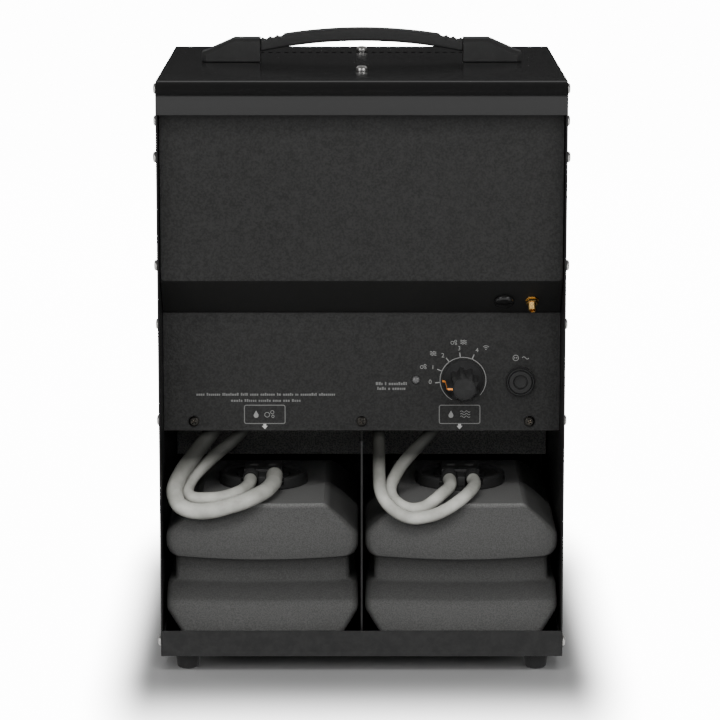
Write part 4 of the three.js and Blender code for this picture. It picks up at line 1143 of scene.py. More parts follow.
# the two ends that carry the grip: sloping blocks with broad chamfers front and back
mountSettings = {"near": 78, "far": 123, "shoulder": 98, "knee": 119, "low": 443.8, "end": 451,
                 "kneeTop": 452.2,
                 "top": 461.5, "halfDepth": 12, "chamfer": 2.8, "endCut": 3.6}


def addMount(side, name):
    facts = mountSettings
    outline = [(facts["near"], facts["low"]), (facts["far"], facts["low"]), (facts["far"], facts["end"]),
               (facts["knee"], facts["kneeTop"]), (facts["shoulder"], facts["top"]),
               (facts["near"], facts["top"])]
    depth = rearEdge / mm + handleSettings["depth"]
    rings = []
    for share, chamfer in ((-1, 1), (-1, 0), (1, 0), (1, 1)):
        y = depth + share * (facts["halfDepth"] - (0 if chamfer else facts["chamfer"]))
        ring = []
        for x, z in outline:
            if chamfer and z > facts["low"]:
                z -= facts["chamfer"] * 0.75
            if chamfer and x > facts["knee"] - 1:
                x -= facts["endCut"]
            ring.append(Vector((side * x, y, z)) * mm)
        rings.append(ring)
    shape = skinned(rings)
    pocket = block((min(side * 70, side * 90), depth - 11.2, 452.5),
                   (max(side * 70, side * 90), depth + 11.2, 458), ease=0)
    mesh = eased(workObject(combined(shape, [pocket], "DIFFERENCE")), 0.45)
    addPiece(f"{name}_moulding", mesh, "mouldedBlack", "root", [name], flatFaces=True)


addGrip()
addMount(-1, "handle_mount_left")
addMount(1, "handle_mount_right")


# feet
footProfile = [(0.01, 0), (6.6, 0), (8, 1.4), (9.6, 13.2), (0.01, 13.2)]
for footName in ("rear_foot_left", "rear_foot_right", "front_foot_left", "front_foot_right"):
    footMiddle = middleOf(footName)
    footPlace = Matrix.Translation((footMiddle.x, footMiddle.y, 0)) @ fullSize
    addPiece(f"{footName}_rubber", turned(footProfile, footPlace, 48, 0.6), "footRubber", "root",
             [footName])
print("handle and feet made")


# controls on the rear: millimetres from the middle of the case and from the ground
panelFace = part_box("control_panel")[0].y
dialAt = Vector((0.0759, panelFace, 0.2156))
glandAt = Vector((0.1189, panelFace, 0.2145))
ledAt = Vector((0.0406, panelFace, 0.2156))
fuseJoint = next(joint for joint in frame["joints"] if joint["name"] == "fuse_cap_turn")
slantOut = Vector(fuseJoint["axis"])
fuseAt = Vector(fuseJoint["pos_m"])
antennaAt = Vector((0.1266, fuseAt.y, fuseAt.z))

knobSettings = {
    "skirt": 15.5, "skirtTop": 4.3, "coneTo": 10.4, "barrel": 10.4, "flute": 1.15, "flutes": 9, "disc": 8.1,
    "shoulder": 33.4, "height": 36.5, "steps": 180, "pointerWidth": 1.35, "finHalf": 1.4,
}


def barrelRadius(turn):
    return knobSettings["barrel"] - knobSettings["flute"] * math.cos(knobSettings["flutes"] * turn)


def addKnob():
    facts = knobSettings
    place = pointing(rearward, dialAt + rearward * 0.0005)
    height, disc = facts["height"], facts["disc"]
    turns = [2 * math.pi * k / facts["steps"] for k in range(facts["steps"])]

    def ring(level, radiusAt):
        return [place @ Vector((radiusAt(t) * math.cos(t), radiusAt(t) * math.sin(t), level)) for t in turns]

    # closed bore, skirt, a cone that the fluted barrel rises out of, a sloping shoulder, the front disc
    rings = [ring(20, lambda t: 0.01), ring(20, lambda t: 3.5), ring(0, lambda t: 3.5)]
    rings += [ring(level, lambda t, r=radius: r) for radius, level in
              ((15.2, 0), (facts["skirt"], 0.3), (facts["skirt"], 3.1), (15.35, 3.8),
               (15.0, facts["skirtTop"]))]
    steps = 26
    for k in range(1, steps + 1):
        cone = 15.0 - (15.0 - 9.0) * k / steps
        level = facts["skirtTop"] + (facts["coneTo"] - facts["skirtTop"]) * k / steps
        rings.append(ring(level, lambda t, c=cone: max(c, barrelRadius(t))))
    for level in (16, 22, 28, facts["shoulder"] - 0.5):
        rings.append(ring(level, barrelRadius))
    for share, level in ((0.06, 33.3), (0.22, 33.9), (0.6, 35.1), (0.9, 36.0), (1.0, 36.15)):
        rings.append(ring(level, lambda t, s=share: barrelRadius(t) * (1 - s) + (disc + 0.35) * s))
    rings += [ring(level, lambda t, r=radius: r) for radius, level in
              ((disc + 0.25, 35.9), (disc, 35.9), (disc - 0.1, 36.3), (disc - 0.4, height), (4, height),
               (0.01, height))]
    half = facts["finHalf"]
    fin = skinned([[place @ Vector((-radius, side, level)) for radius, level in
                    ((8.6, 5.0), (13.6, 5.9), (13.3, 8.0), (12.7, 34.6), (12.0, 35.6), (8.6, 35.9))]
                   for side in (-half, half)])
    shape = combined(skinned(rings), [fin], "UNION")
    addPiece("mode_knob_moulding", shape, "knobPlastic", "mode_knob", ["mode_knob"],
             angle=38)
    path = [(15.5, 3.2), (15.1, 4.4), (13.7, 5.9), (13.3, 8.0), (12.7, 34.6), (12.0, 35.6), (8.7, 35.95)]
    halfWidth, skin = facts["pointerWidth"] / 2, 0.14
    rings = []
    for k, (radius, level) in enumerate(path):
        a, b = path[max(k - 1, 0)], path[min(k + 1, len(path) - 1)]
        along = Vector((b[0] - a[0], b[1] - a[1])).normalized()
        outX, outZ = along.y, -along.x
        rings.append([place @ Vector((-(radius + outX * out), side, level + outZ * out))
                      for out, side in ((skin, -halfWidth), (skin, halfWidth), (-0.5, halfWidth),
                                        (-0.5, -halfWidth))])
    addPiece("knob_pointer", skinned(rings), "orangeInk", "mode_knob")


def addLamp():
    place = pointing(rearward, ledAt)
    lens = turned([(0.01, -6), (2.85, -6), (2.85, 0.6), (2.5, 1.3), (1.4, 1.8), (0.01, 1.9)], place, 40, 0.3)
    addPiece("status_led_lens", lens, "frostedLens", "root", ["status_led"])


def addGland():
    place = pointing(rearward, glandAt)
    rim = turned([(7.2, -14), (7.3, -14), (7.3, 0.05), (10.7, 0.05), (10.7, 3.4), (9.8, 4.6), (9.2, 4.4),
                  (8.9, 2.6), (7.2, 2.6)],
                 place, 72, 0.3, closed=True)
    addPiece("cable_gland_rim", rim, "mouldedBlack", "root", ["cable_gland"])
    seal = turned([(0.01, -13), (7.1, -13), (7.1, 2.7), (8.8, 2.7), (8.7, 4.0), (8.2, 4.3), (5.6, 4.3),
                   (5.0, 3.7),
                   (4.8, 1.7), (0.01, 1.5)], place, 72, 0.25)
    addPiece("cable_gland_seal", seal, "sealRubber", "root")


def addFuse():
    place = pointing(slantOut, fuseAt)
    head = turned([(0.01, -12), (4.3, -12), (4.3, 0.5), (7.5, 0.5), (7.5, 2.4), (6.9, 3.4), (5.9, 3.8),
                   (0.01, 3.8)],
                  place, 72, 0.3)
    slot = block((-6, -0.8, 2.4), (6, 0.8, 6), place, ease=0)
    ribs = [block((-0.35, 7.2, 0.8), (0.35, 7.75, 2.6),
                  place @ Matrix.Rotation(2 * math.pi * k / 24, 4, "Z"), 0.15)
            for k in range(24)]
    mesh = combined(head, [slot], "DIFFERENCE")
    addPiece("fuse_cap_head", joined([asShape(mesh), *ribs]), "glossPlastic", "fuse_cap",
             ["fuse_cap"])


def addAntenna():
    place = pointing(slantOut, antennaAt)
    thread = [(0.01, -9), (3.0, -9), (3.0, 2.6)]
    for k in range(12):
        thread += [(3.0, 2.7 + k * 0.53), (2.72, 2.7 + k * 0.53 + 0.26)]
    thread += [(3.0, 9.1), (2.7, 9.5), (2.2, 9.5), (2.2, 5.5), (0.01, 5.5)]
    stem = turned(thread, place, 48, 0.08)
    nut = turned([(2.9, 0.9), (4.55, 0.9), (4.65, 1.3), (4.65, 3.3), (4.4, 3.7), (2.9, 3.7)], place, 6, 0.12,
                 closed=True)
    washer = turned([(2.9, 0.3), (5.0, 0.3), (5.0, 0.85), (2.9, 0.85)], place, 48, 0.1, closed=True)
    pin = turned([(0.01, 5.3), (0.65, 5.3), (0.65, 8.2), (0.35, 8.6), (0.01, 8.6)], place, 24, 0.1)
    addPiece("antenna_socket_turned", joined([stem, nut, washer, pin]), "gold", "root",
             ["antenna_socket"])


addKnob()
addLamp()
addGland()
addFuse()
addAntenna()


# print on the control panel: digits, pictograms and plain marks in place of words
printSettings = {"lift": 0.05, "line": 0.62, "digit": 4.6, "arcRadius": 17.2, "tickTo": 21,
                 "ticks": (186, 157, 127, 97, 67)}
panelPlace = pointing(rearward, Vector((0, panelFace, 0)))


def ribbon(points, width=None, closed=False):
    # a flat line of even width as a thin solid on the panel
    width = width or printSettings["line"]
    rings = []
    count = len(points)
    for k, point in enumerate(points):
        before = points[k - 1] if closed or k else points[0]
        after = points[(k + 1) % count] if closed or k < count - 1 else points[-1]
        along = (Vector(after) - Vector(before)).normalized()
        side = Vector((-along.y, along.x)) * width / 2
        low, high = -0.03, printSettings["lift"]
        rings.append([panelPlace @ Vector((point[0] + s * side.x, point[1] + s * side.y, level))
                      for s, level in ((1, low), (1, high), (-1, high), (-1, low))])
    return skinned(rings, tube=closed)


def ringMark(x, z, radius, width=None):
    return ribbon([(p.x + x, p.y + z) for p in circle(radius, 0, max(12, int(radius * 8)))], width,
                  closed=True)


def arcMark(x, z, radius, start, end, width=None):
    steps = max(6, int(abs(end - start) * radius / 60))
    turns = [math.radians(start + (end - start) * k / steps) for k in range(steps + 1)]
    return ribbon([(x + radius * math.cos(t), z + radius * math.sin(t)) for t in turns], width)


def filled(points):
    return extruded(points, panelPlace, -0.03, printSettings["lift"])


def boxMark(x, z, width, height, corner, line):
    half, tall = width / 2, height / 2
    corners = [(x - half, z - tall), (x + half, z - tall), (x + half, z + tall), (x - half, z + tall)]
    return ribbon([tuple(p) for p in rounded(corners, corner, 5)], line, closed=True)


def bubblesMark(x, z, size=1.0):
    return [ringMark(x - 1.5 * size, z - 0.3 * size, 1.15 * size, 0.4),
            ringMark(x + 0.9 * size, z + 0.9 * size, 0.8 * size, 0.38),
            ringMark(x + 1.2 * size, z - 1.1 * size, 0.6 * size, 0.36)]


def hazeMark(x, z, size=1.0):
    waves = []
    for row in (-1.2, 0, 1.2):
        points = [(x + size * (k / 16 - 0.5) * 4.6, z + size * (row + 0.36 * math.sin(k / 16 * 4 * math.pi)))
                  for k in range(17)]
        waves.append(ribbon(points, 0.42))
    return waves


def dropMark(x, z, size=1.0):
    outline = [(x, z + 2.1 * size)]
    for k in range(13):
        turn = math.radians(20 - 220 * k / 12)
        outline.append((x + 1.25 * size * math.cos(turn), z - 0.5 * size + 1.25 * size * math.sin(turn)))
    return [filled(list(reversed(outline)))]


def radioMark(x, z):
    return [filled([(x + 0.45 * math.cos(t), z - 1.2 + 0.45 * math.sin(t))
                    for t in (math.pi * k / 5 for k in range(10))]),
            arcMark(x, z - 1.2, 1.5, 40, 140, 0.4), arcMark(x, z - 1.2, 2.7, 40, 140, 0.4)]


def greeked(x, z, words, height, seed, gap=0.42):
    # a line of small blocks that stands for a line of print, centred on x
    chance = random.Random(seed)
    widths = [[chance.uniform(0.55, 1.0) * height * 0.72 for letter in range(count)] for count in words]
    total = sum(sum(w) + gap * (len(w) - 1) for w in widths) + height * 0.8 * (len(words) - 1)
    left = x - total / 2
    marks = []
    for word in widths:
        for width in word:
            top = height * chance.choice((0.72, 0.72, 0.74, 1.0))
            marks.append(filled([(left, z), (left + width, z), (left + width, z + top), (left, z + top)]))
            left += width + gap
        left += height * 0.8 - gap
    return marks


def digitMesh(text, x, z, size):
    curve = bpy.data.curves.new("digit", "FONT")
    curve.body = text
    curve.size = size
    curve.align_x, curve.align_y = "CENTER", "CENTER"
    curve.extrude = 0.04
    written = bpy.data.objects.new("digit", curve)
    scene.collection.objects.link(written)
    bpy.context.view_layer.update()
    mesh = finished(written)
    return asShape(mesh, panelPlace @ Matrix.Translation((x, z, 0.01)))


def addPrint():
    facts = printSettings
    x, z = dialAt.x / mm, dialAt.z / mm
    bright, dim, white = [], [], []
    bright.append(arcMark(x, z, facts["arcRadius"], 242, -42, 0.5))
    for turn in facts["ticks"]:
        way = Vector((math.cos(math.radians(turn)), math.sin(math.radians(turn))))
        inner, outer = way * (facts["arcRadius"] - 0.2), way * facts["tickTo"]
        bright.append(ribbon([(x + inner.x, z + inner.y), (x + outer.x, z + outer.y)], 0.75))
    spots = [(-24.6, -1.6), (-22.6, 9.6), (-15.2, 18.6), (-3.0, 24.0), (10.4, 22.6)]
    for number, (u, v) in enumerate(spots):
        bright.append(digitMesh(str(number), x + u, z + v, facts["digit"]))
    bright += bubblesMark(x - 29.4, z + 10.2) + hazeMark(x - 22.4, z + 20.2)
    bright += bubblesMark(x - 6.6, z + 28.6) + hazeMark(x + 0.2, z + 28.8) + radioMark(x + 17.0, z + 24.6)
    lampX, lampZ = ledAt.x / mm, ledAt.z / mm
    for row, words in ((-3.0, (3, 1, 8)), (-6.7, (4, 1, 6))):
        dim += greeked(lampX - 18.4, lampZ + row - 0.9, words, 2.3, 5 + int(row))
    plugX, plugZ = glandAt.x / mm, glandAt.z / mm
    bright += [ringMark(plugX - 3.6, plugZ + 17.9, 2.1, 0.42),
               filled([(plugX - 4.7, plugZ + 17.5), (plugX - 4.0, plugZ + 17.5), (plugX - 4.0, plugZ + 18.5),
                       (plugX - 4.7, plugZ + 18.5)]),
               filled([(plugX - 3.2, plugZ + 17.5), (plugX - 2.5, plugZ + 17.5), (plugX - 2.5, plugZ + 18.5),
                       (plugX - 3.2, plugZ + 18.5)])]
    bright.append(ribbon([(plugX + 1.2 + k * 0.42, plugZ + 17.9 + 0.9 * math.sin(k / 12 * 2 * math.pi))
                          for k in range(13)], 0.45))
    for side, mark in ((-72.8, bubblesMark), (73.5, hazeMark)):
        dim.append(boxMark(side, 189.3, 30.5, 14, 1.6, 0.7))
        bright += dropMark(side - 6.5, 189.2, 1.45) + mark(side + 4.2, 189.5, 1.6)
        white.append(filled([(side, 178.0), (side + 2.2, 180.5), (side + 1.0, 180.5), (side + 1.0, 182.0),
                              (side - 1.0, 182.0), (side - 1.0, 180.5), (side - 2.2, 180.5)]))
    dim += greeked(-72, 203.6, (4, 7, 8, 4, 5, 7, 2, 5, 2, 8, 8), 2.1, 11, 0.34)
    dim += greeked(-72, 198.9, (5, 6, 6, 4, 3, 4), 2.1, 23, 0.5)
    addPiece("panel_marks", joined(bright), "panelInk", "root")
    addPiece("panel_small_marks", joined(dim), "dimInk", "root")
    addPiece("panel_arrows", joined(white), "whiteInk", "root")


addPrint()
print("controls made")


# screws: one pan head with a cross recess, copied wherever a screw shows
screwSettings = {"head": 4.0, "recess": 2.3, "recessWidth": 0.85, "recessDepth": 1.2}


def screwShape(height):
    facts = screwSettings
    head = facts["head"]
    dome = turned([(0.01, 0.0), (head, 0.0), (head, height * 0.36), (head * 0.93, height * 0.66),
                   (head * 0.68, height * 0.93), (head * 0.4, height), (0.01, height)], fullSize, 40, 0.25)
    arms = []
    for turn in (0, math.pi / 2):
        spin = fullSize @ Matrix.Rotation(turn, 4, "Z")
        low, high = height - facts["recessDepth"], height + 1
        half, width = facts["recess"], facts["recessWidth"] / 2
        arms.append(skinned([[spin @ Vector((sx * half * grow, sy * width * grow, level))
                              for sx, sy in ((-1, -1), (1, -1), (1, 1), (-1, 1))]
                             for level, grow in ((low, 0.55), (high, 1.3))]))
    return asShape(combined(dome, arms, "DIFFERENCE"))


def screwSet(name, finish, places, seed, standsFor=(), size=1.0, height=2.2):
    carrier = bpy.data.meshes.new("places")
    carrier.from_pydata([at for at, way in places], [], [])
    facing = carrier.attributes.new("facing", "FLOAT_VECTOR", "POINT")
    for entry, (at, way) in zip(facing.data, places):
        entry.vector = way
    mesh = repeated("facing", screwShape(height), finish, carrier, Seed=seed, Size=size)
    addPiece(name, mesh, finish, "root", standsFor)


# height of each row and its distance from the case's rear and front edges
sideScrewRows = [(437.5, 15), (414, 15), (388.4, 5), (308.6, 5), (262.7, 18), (190.1, 18), (24.6, 5)]
for screwSide, sideName, screwSeed in ((-1, "left", 3), (1, "right", 8)):
    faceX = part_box(f"{sideName}_side_panel")[0 if screwSide < 0 else 1].x
    sidePlaces = []
    for screwZ, screwDepth in sideScrewRows:
        for screwY in (rearEdge + screwDepth * mm, -rearEdge - screwDepth * mm):
            sidePlaces.append((Vector((faceX + screwSide * 0.0001, screwY, screwZ * mm)),
                               Vector((screwSide, 0, 0))))
    screwSet(f"side_screws_{sideName}", "screwSteel", sidePlaces, screwSeed, [f"side_screw_{sideName}"])

panelScrewNodes = ["panel_screw_left", "panel_screw_middle", "panel_screw_right"]
panelPlaces = [(Vector((middleOf(node).x, panelFace - 0.0001, middleOf(node).z)), rearward)
               for node in panelScrewNodes]
screwSet("panel_screws", "blackScrew", panelPlaces, 21, panelScrewNodes)
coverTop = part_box("top_cover")[1].z
topScrewDepths = [83, 244]
topPlaces = [(Vector((0, rearEdge + depth * mm, coverTop)), upward) for depth in topScrewDepths]
screwSet("top_screws", "screwSteel", topPlaces, 5, size=1.12, height=3.6)
frontScrews = {"half": 138, "heights": [70, 205, 330, 408]}
frontPlaces = [(Vector((side * frontScrews["half"] * mm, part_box("front_panel")[1].y, z * mm)), forward)
               for side in (-1, 1) for z in frontScrews["heights"]]
screwSet("front_screws", "screwSteel", frontPlaces, 14)
print("screws made")


# outlets on the far side
def addOutlets():
    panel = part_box("front_panel")[1].y
    place = pointing(forward, Vector((0, panel, middleOf("outlet_ring").z)))
    profile = [(66, -4), (69, -4), (69, 0.05), (75, 0.05), (75, 0.8), (74.3, 1.2), (67, 1.2), (66, 0.6)]
    addPiece("outlet_ring_moulding", turned(profile, place, 128, 0.3, closed=True), "mouldedBlack", "root",
             ["outlet_ring"])
    low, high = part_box("haze_nozzle")
    length = (high.y - low.y) / mm
    start = Vector((middleOf("haze_nozzle").x, low.y, middleOf("haze_nozzle").z))
    profile = [(4, 0), (6, 0), (6, length - 14.6), (9.5, length - 8.6), (9.5, length), (7.5, length),
               (4, length - 10.6)]
    addPiece("haze_nozzle_turned", turned(profile, pointing(forward, start), 64, 0.4, closed=True),
             "castAluminium", "root",
             ["haze_nozzle"])


# bubble wheel: a disc of wands, each with a ridged lip that holds the film
wheelSettings = {"radius": 66, "thickness": 5, "wands": 8, "distance": 50, "wandRadius": 12.5, "hub": 9}


def addWheel():
    facts = wheelSettings
    middle = middleOf("bubble_wheel")
    hubReach = 4 * mm
    at = Vector((middle.x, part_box("bubble_wheel")[1].y - hubReach, middle.z))
    place = pointing(forward, at)
    thick = facts["thickness"]
    disc = turned([(0.01, -thick), (facts["radius"], -thick), (facts["radius"], 0), (0.01, 0)], place, 144,
                  0.5)
    hole = skinned([circle(facts["wandRadius"] * mm, level * mm, 48) for level in (-8, 4)])
    holes = asShape(repeated("round", hole, "palePlastic", Count=facts["wands"],
                             Radius=facts["distance"] * mm,
                             Step=2 * math.pi / facts["wands"]), Matrix.Translation(at) @ facing(forward))
    hub = turned([(3.3, -thick - 12), (facts["hub"], -thick - 12), (facts["hub"], 4), (0.01, 4), (0.01, -5),
                  (3.3, -5)],
                 place, 64, 0.5, closed=False)
    mesh = combined(disc, [holes], "DIFFERENCE")
    inner = facts["wandRadius"]
    lip = turned([(inner - 0.6, -thick + 0.4), (inner + 1.4, -thick + 0.4), (inner + 1.4, 0.9),
                  (inner - 0.6, 0.9)],
                 fullSize, 64, 0.4, closed=True)
    lips = asShape(repeated("round", lip, "palePlastic", Count=facts["wands"], Radius=facts["distance"] * mm,
                            Step=2 * math.pi / facts["wands"]), Matrix.Translation(at) @ facing(forward))
    addPiece("bubble_wheel_moulding", joined([asShape(mesh), lips, hub]), "palePlastic", "bubble_wheel",
             ["bubble_wheel"])
    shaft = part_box("wheel_shaft")
    rod = turned([(0.01, 0), (3, 0), (3, (shaft[1].y - shaft[0].y) / mm),
                  (0.01, (shaft[1].y - shaft[0].y) / mm)],
                 pointing(forward, Vector((middle.x, shaft[0].y, middle.z))), 32, 0.3)
    addPiece("wheel_shaft_ground", rod, "screwSteel", "bubble_wheel", ["wheel_shaft"])


def facing(direction):
    return Vector(direction).to_track_quat("Z", "Y").to_matrix().to_4x4()


# fan: seven swept blades round a hub
fanSettings = {"blades": 7, "hub": 15, "tip": 40, "depth": 19, "pitch": 40, "sweep": 14}


def bladeShape():
    facts = fanSettings
    rings = []
    for k in range(9):
        share = k / 8
        radius = facts["hub"] - 0.8 + (facts["tip"] - facts["hub"] + 0.8) * share
        turn = math.radians(facts["sweep"]) * share ** 1.5
        chord = 13 + 5 * share
        pitch = math.radians(facts["pitch"] + 8 * share)
        ring = []
        for along, thick in ((-0.5, 0), (-0.2, 0.75), (0.15, 0.8), (0.5, 0), (0.15, -0.3), (-0.2, -0.35)):
            across, rise = along * chord * math.cos(pitch), along * chord * math.sin(pitch)
            across, rise = across - thick * math.sin(pitch), rise + thick * math.cos(pitch)
            place = Matrix.Rotation(turn, 4, "Z")
            ring.append(fullSize @ place @ Vector((radius, across, rise)))
        rings.append(ring)
    return skinned(rings)


def addFan():
    facts = fanSettings
    low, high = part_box("fan_rotor")
    at = Vector((middleOf("fan_frame").x, (low.y + high.y) / 2, middleOf("fan_frame").z))
    blades = asShape(repeated("round", bladeShape(), "darkComponent", Count=facts["blades"], Radius=0.0,
                              Step=2 * math.pi / facts["blades"]), Matrix.Translation(at) @ facing(forward))
    half = (high.y - low.y) / 2 / mm
    hub = turned([(0.01, -half), (facts["hub"] - 1.5, -half), (facts["hub"], -half + 1.5),
                  (facts["hub"], half - 1.5),
                  (facts["hub"] - 1.5, half), (0.01, half)], pointing(forward, at), 64, 0.6)
    addPiece("fan_rotor_moulding", joined([blades, hub]), "darkComponent", "fan_rotor",
             ["fan_rotor"])


# circuit boards, each with its parts; pins stand at the usual tenth of an inch
pinPitch = 2.54
boardSettings = {
    "control_board": {"from": (-66, 60, 318), "size": (132, 110), "parts": [
        (-58, -30, 330, 362, 18), (-20, 4, 330, 354, 12), (14, 30, 372, 388, 20), (-50, -34, 388, 410, 14),
        (36, 60, 326, 338, 10)]},
    "wireless_receiver": {"from": (88, 46, 318), "size": (52, 48), "parts": [
        (98, 116, 334, 350, 3), (120, 132, 322, 330, 8)]},
}


def addBoard(name, facts):
    x, depth, z = facts["from"]
    face = rearEdge / mm + depth
    width, height = facts["size"]
    addPiece(f"{name}_laminate", block((x, face, z), (x + width, face + 1.6, z + height), ease=0.15),
             "circuitBoard",
             "root", [name])
    parts = [block((x0, face - tall, z0), (x1, face + 0.05, z1), ease=0.5)
             for x0, x1, z0, z1, tall in facts["parts"]]
    addPiece(f"{name}_components", joined(parts), "darkComponent", "root")
    x0, x1, z0, z1, tall = facts["parts"][0]
    pin = block((-0.3, -0.4, -0.4), (0.3, 0.4, 0.4), ease=0)
    count = int((x1 - x0) / pinPitch) - 1
    pins = repeated("row", pin, "gold", Count=count,
                    Start=((x0 + 2.5) * mm, (face - 0.5) * mm, (z0 - 1.6) * mm),
                    Spacing=(pinPitch * mm, 0, 0))
    addPiece(f"{name}_pins", pins, "gold", "root")


addOutlets()
addWheel()
addFan()
for boardName, boardFacts in boardSettings.items():
    addBoard(boardName, boardFacts)
print("inside made")


# nodes kept as they are still get the finish of their material slot
slotFinishes = {
    "satin_black_steel": "satinPowder", "textured_black_steel": "texturedPowder",
    "black_rubber": "footRubber",
    "moulded_black": "mouldedBlack", "gloss_black_plastic": "glossPlastic", "bare_steel": "zincSteel",
    "screw_chrome": "screwSteel", "gold_plate": "gold", "bottle_plastic": "bottlePlastic",
    "hose_silicone": "cloudySilicone", "led_lens": "frostedLens", "pale_plastic": "palePlastic",
    "cast_aluminium": "castAluminium", "circuit_board": "circuitBoard",
}
for keptName, node in frame["nodes"].items():
    node.data.materials.clear()
    node.data.materials.append(materials[slotFinishes[nodeSlots[keptName]]])


# floor and light
lights = {
    "controlSide": {"at": (0, -2.7, 1.3), "size": (2.0, 0.9), "power": 36, "mirrored": False},
    "left": {"at": (-1.7, -2.0, 1.2), "size": (1.1, 1.2), "power": 16, "mirrored": True},
    "right": {"at": (1.7, -2.0, 1.2), "size": (1.1, 1.2), "power": 16, "mirrored": True},
    "highControlSide": {"at": (0, -2.1, 2.4), "size": (1.6, 0.8), "power": 66, "mirrored": False},
    "lowFill": {"at": (0, -2.8, 0.35), "size": (2.4, 0.6), "power": 7, "mirrored": True},
    "overhead": {"at": (0, -0.5, 2.4), "size": (2.0, 1.6), "power": 3, "mirrored": False},
    "back": {"at": (0, 1.6, 2.4), "size": (1.6, 1.2), "power": 5, "mirrored": False},
    "outletSide": {"at": (0, 2.7, 1.1), "size": (2.0, 0.9), "power": 60, "mirrored": False},
    "leftFlank": {"at": (-2.7, 0.5, 1.1), "size": (1.4, 0.9), "power": 30, "mirrored": False},
    "rightFlank": {"at": (2.7, 0.5, 1.1), "size": (1.4, 0.9), "power": 30, "mirrored": False},
}
lightsAimAt = Vector((0, 0, 0.2))
# how the floor glows white to the camera away from the case, leaving a painted ground shadow round the base where
# it stays dark: reach in x and in y, in metres, and how white it gets
floorSettings = {"color": (0.23, 0.23, 0.23), "speckle": (0.26, 0.26, 0.26), "reach": (0.06, 0.27),
                 "white": 14.0,
                 "mirrored": 0.5}


def addLight(name, facts):
    data = bpy.data.lights.new(name, "AREA")
    data.shape = "RECTANGLE"
    data.size, data.size_y = facts["size"]
    data.energy = facts["power"]
    lamp = bpy.data.objects.new(name, data)
    lamp.location = facts["at"]
    aim = lightsAimAt - Vector(facts["at"])
    lamp.rotation_euler = aim.to_track_quat("-Z", "Y").to_euler()
    lamp.visible_glossy = facts["mirrored"]
    scene.collection.objects.link(lamp)


def distanceOutside(tree, value, half, reach):
    # how far past the case's edge, as a share of reach
    past = mathNode(tree, "SUBTRACT", mathNode(tree, "ABSOLUTE", value), half)
    return mathNode(tree, "DIVIDE", mathNode(tree, "MAXIMUM", past, 0.0), reach)


def addFloor():
    facts = floorSettings
    material, tree, shader, vector = startMaterial("floorWhite")
    clouds = rangeNode(tree, noiseNode(tree, vector, 3.0, 2.0), 0.3, 0.7)
    tree.links.new(mixColors(tree, clouds, facts["color"], facts["speckle"]), shader.inputs["Base Color"])
    shader.inputs["Roughness"].default_value = 0.9
    parts = tree.nodes.new("ShaderNodeSeparateXYZ")
    tree.links.new(vector, parts.inputs["Vector"])
    across = distanceOutside(tree, parts.outputs["X"], cadBox[1].x, facts["reach"][0])
    along = distanceOutside(tree, parts.outputs["Y"], cadBox[1].y, facts["reach"][1])
    apart = mathNode(tree, "POWER", mathNode(tree, "ADD", mathNode(tree, "POWER", across, 2.0),
                                             mathNode(tree, "POWER", along, 2.0)), 0.5)
    # painted ground shadow: no glow at the case's edge, full glow past the reach
    whiter = tree.nodes.new("ShaderNodeMapRange")
    whiter.interpolation_type = "SMOOTHSTEP"
    tree.links.new(apart, whiter.inputs["Value"])
    seen = tree.nodes.new("ShaderNodeLightPath")
    strength = mathNode(tree, "MULTIPLY", mathNode(tree, "POWER", whiter.outputs["Result"], 1.6),
                        facts["white"])
    shader.inputs["Emission Color"].default_value = (1, 1, 1, 1)
    toCamera = mathNode(tree, "MULTIPLY", strength, seen.outputs["Is Camera Ray"])
    toGloss = mathNode(tree, "MULTIPLY", seen.outputs["Is Glossy Ray"], facts["mirrored"])
    tree.links.new(mathNode(tree, "ADD", toCamera, toGloss), shader.inputs["Emission Strength"])
    shape = bmesh.new()
    bmesh.ops.create_grid(shape, x_segments=1, y_segments=1, size=15)
    mesh = bpy.data.meshes.new("floor")
    shape.to_mesh(mesh)
    shape.free()
    mesh.materials.append(material)
    floor = bpy.data.objects.new("floor", mesh)
    scene.collection.objects.link(floor)


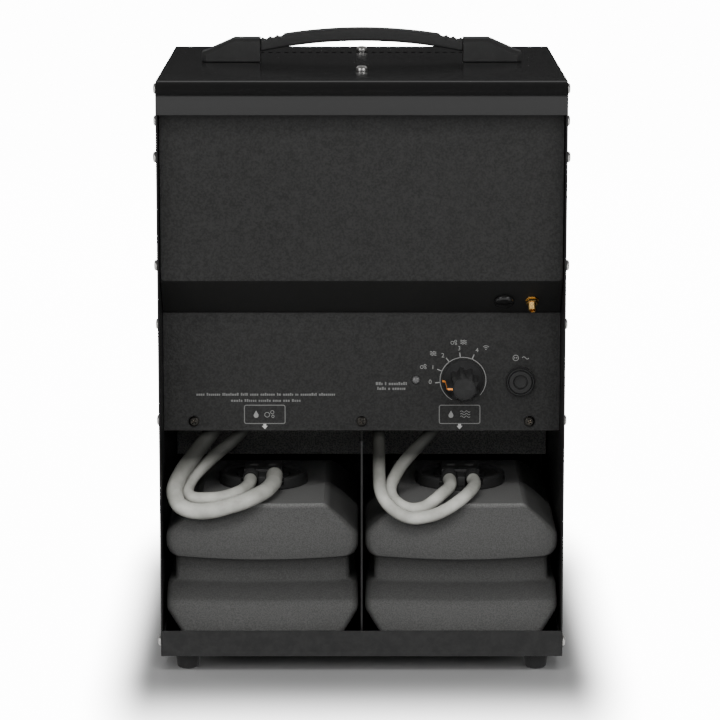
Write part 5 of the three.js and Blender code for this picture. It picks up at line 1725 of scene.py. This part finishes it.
# what the gloss sees: a soft band of light behind and above, as high as these shares of the way up
skySettings = {"white": 14.0, "dim": 0.03, "band": 0.5, "bandAt": 0.5, "bandHalf": 0.3,
               "above": 0.13, "aboveFrom": 0.25, "aboveTo": 0.45}


def addSky():
    # white to the camera, dim to the machine, so that dark parts stay dark
    facts = skySettings
    world = bpy.data.worlds.new("studio")
    world.use_nodes = True
    scene.world = world
    tree = world.node_tree
    seen, dim = tree.nodes["Background"], tree.nodes.new("ShaderNodeBackground")
    seen.inputs["Color"].default_value = (1, 1, 1, 1)
    seen.inputs["Strength"].default_value = facts["white"]
    dim.inputs["Color"].default_value = (1, 1, 1, 1)
    way, parts = tree.nodes.new("ShaderNodeTexCoord"), tree.nodes.new("ShaderNodeSeparateXYZ")
    tree.links.new(way.outputs["Generated"], parts.inputs["Vector"])
    away = mathNode(tree, "ABSOLUTE", mathNode(tree, "SUBTRACT", parts.outputs["Z"], facts["bandAt"]))
    band = mathNode(tree, "SUBTRACT", 1.0, mathNode(tree, "DIVIDE", away, facts["bandHalf"]), clamp=True)
    behind = mathNode(tree, "MULTIPLY", band, mathNode(tree, "MULTIPLY", parts.outputs["Y"], 2.0, clamp=True))
    rays, blend = tree.nodes.new("ShaderNodeLightPath"), tree.nodes.new("ShaderNodeMixShader")
    above = rangeNode(tree, parts.outputs["Z"], facts["aboveFrom"], facts["aboveTo"], 0.0, facts["above"])
    mirrored = mathNode(tree, "ADD", mathNode(tree, "MULTIPLY", behind, facts["band"]), above)
    glossy = mathNode(tree, "MULTIPLY", mirrored, rays.outputs["Is Glossy Ray"])
    tree.links.new(mathNode(tree, "ADD", glossy, facts["dim"]), dim.inputs["Strength"])
    tree.links.new(rays.outputs["Is Camera Ray"], blend.inputs["Fac"])
    tree.links.new(dim.outputs["Background"], blend.inputs[1])
    tree.links.new(seen.outputs["Background"], blend.inputs[2])
    tree.links.new(blend.outputs["Shader"], tree.nodes["World Output"].inputs["Surface"])


addFloor()
addSky()
for lightName, lightFacts in lights.items():
    addLight(lightName, lightFacts)
print("lit")
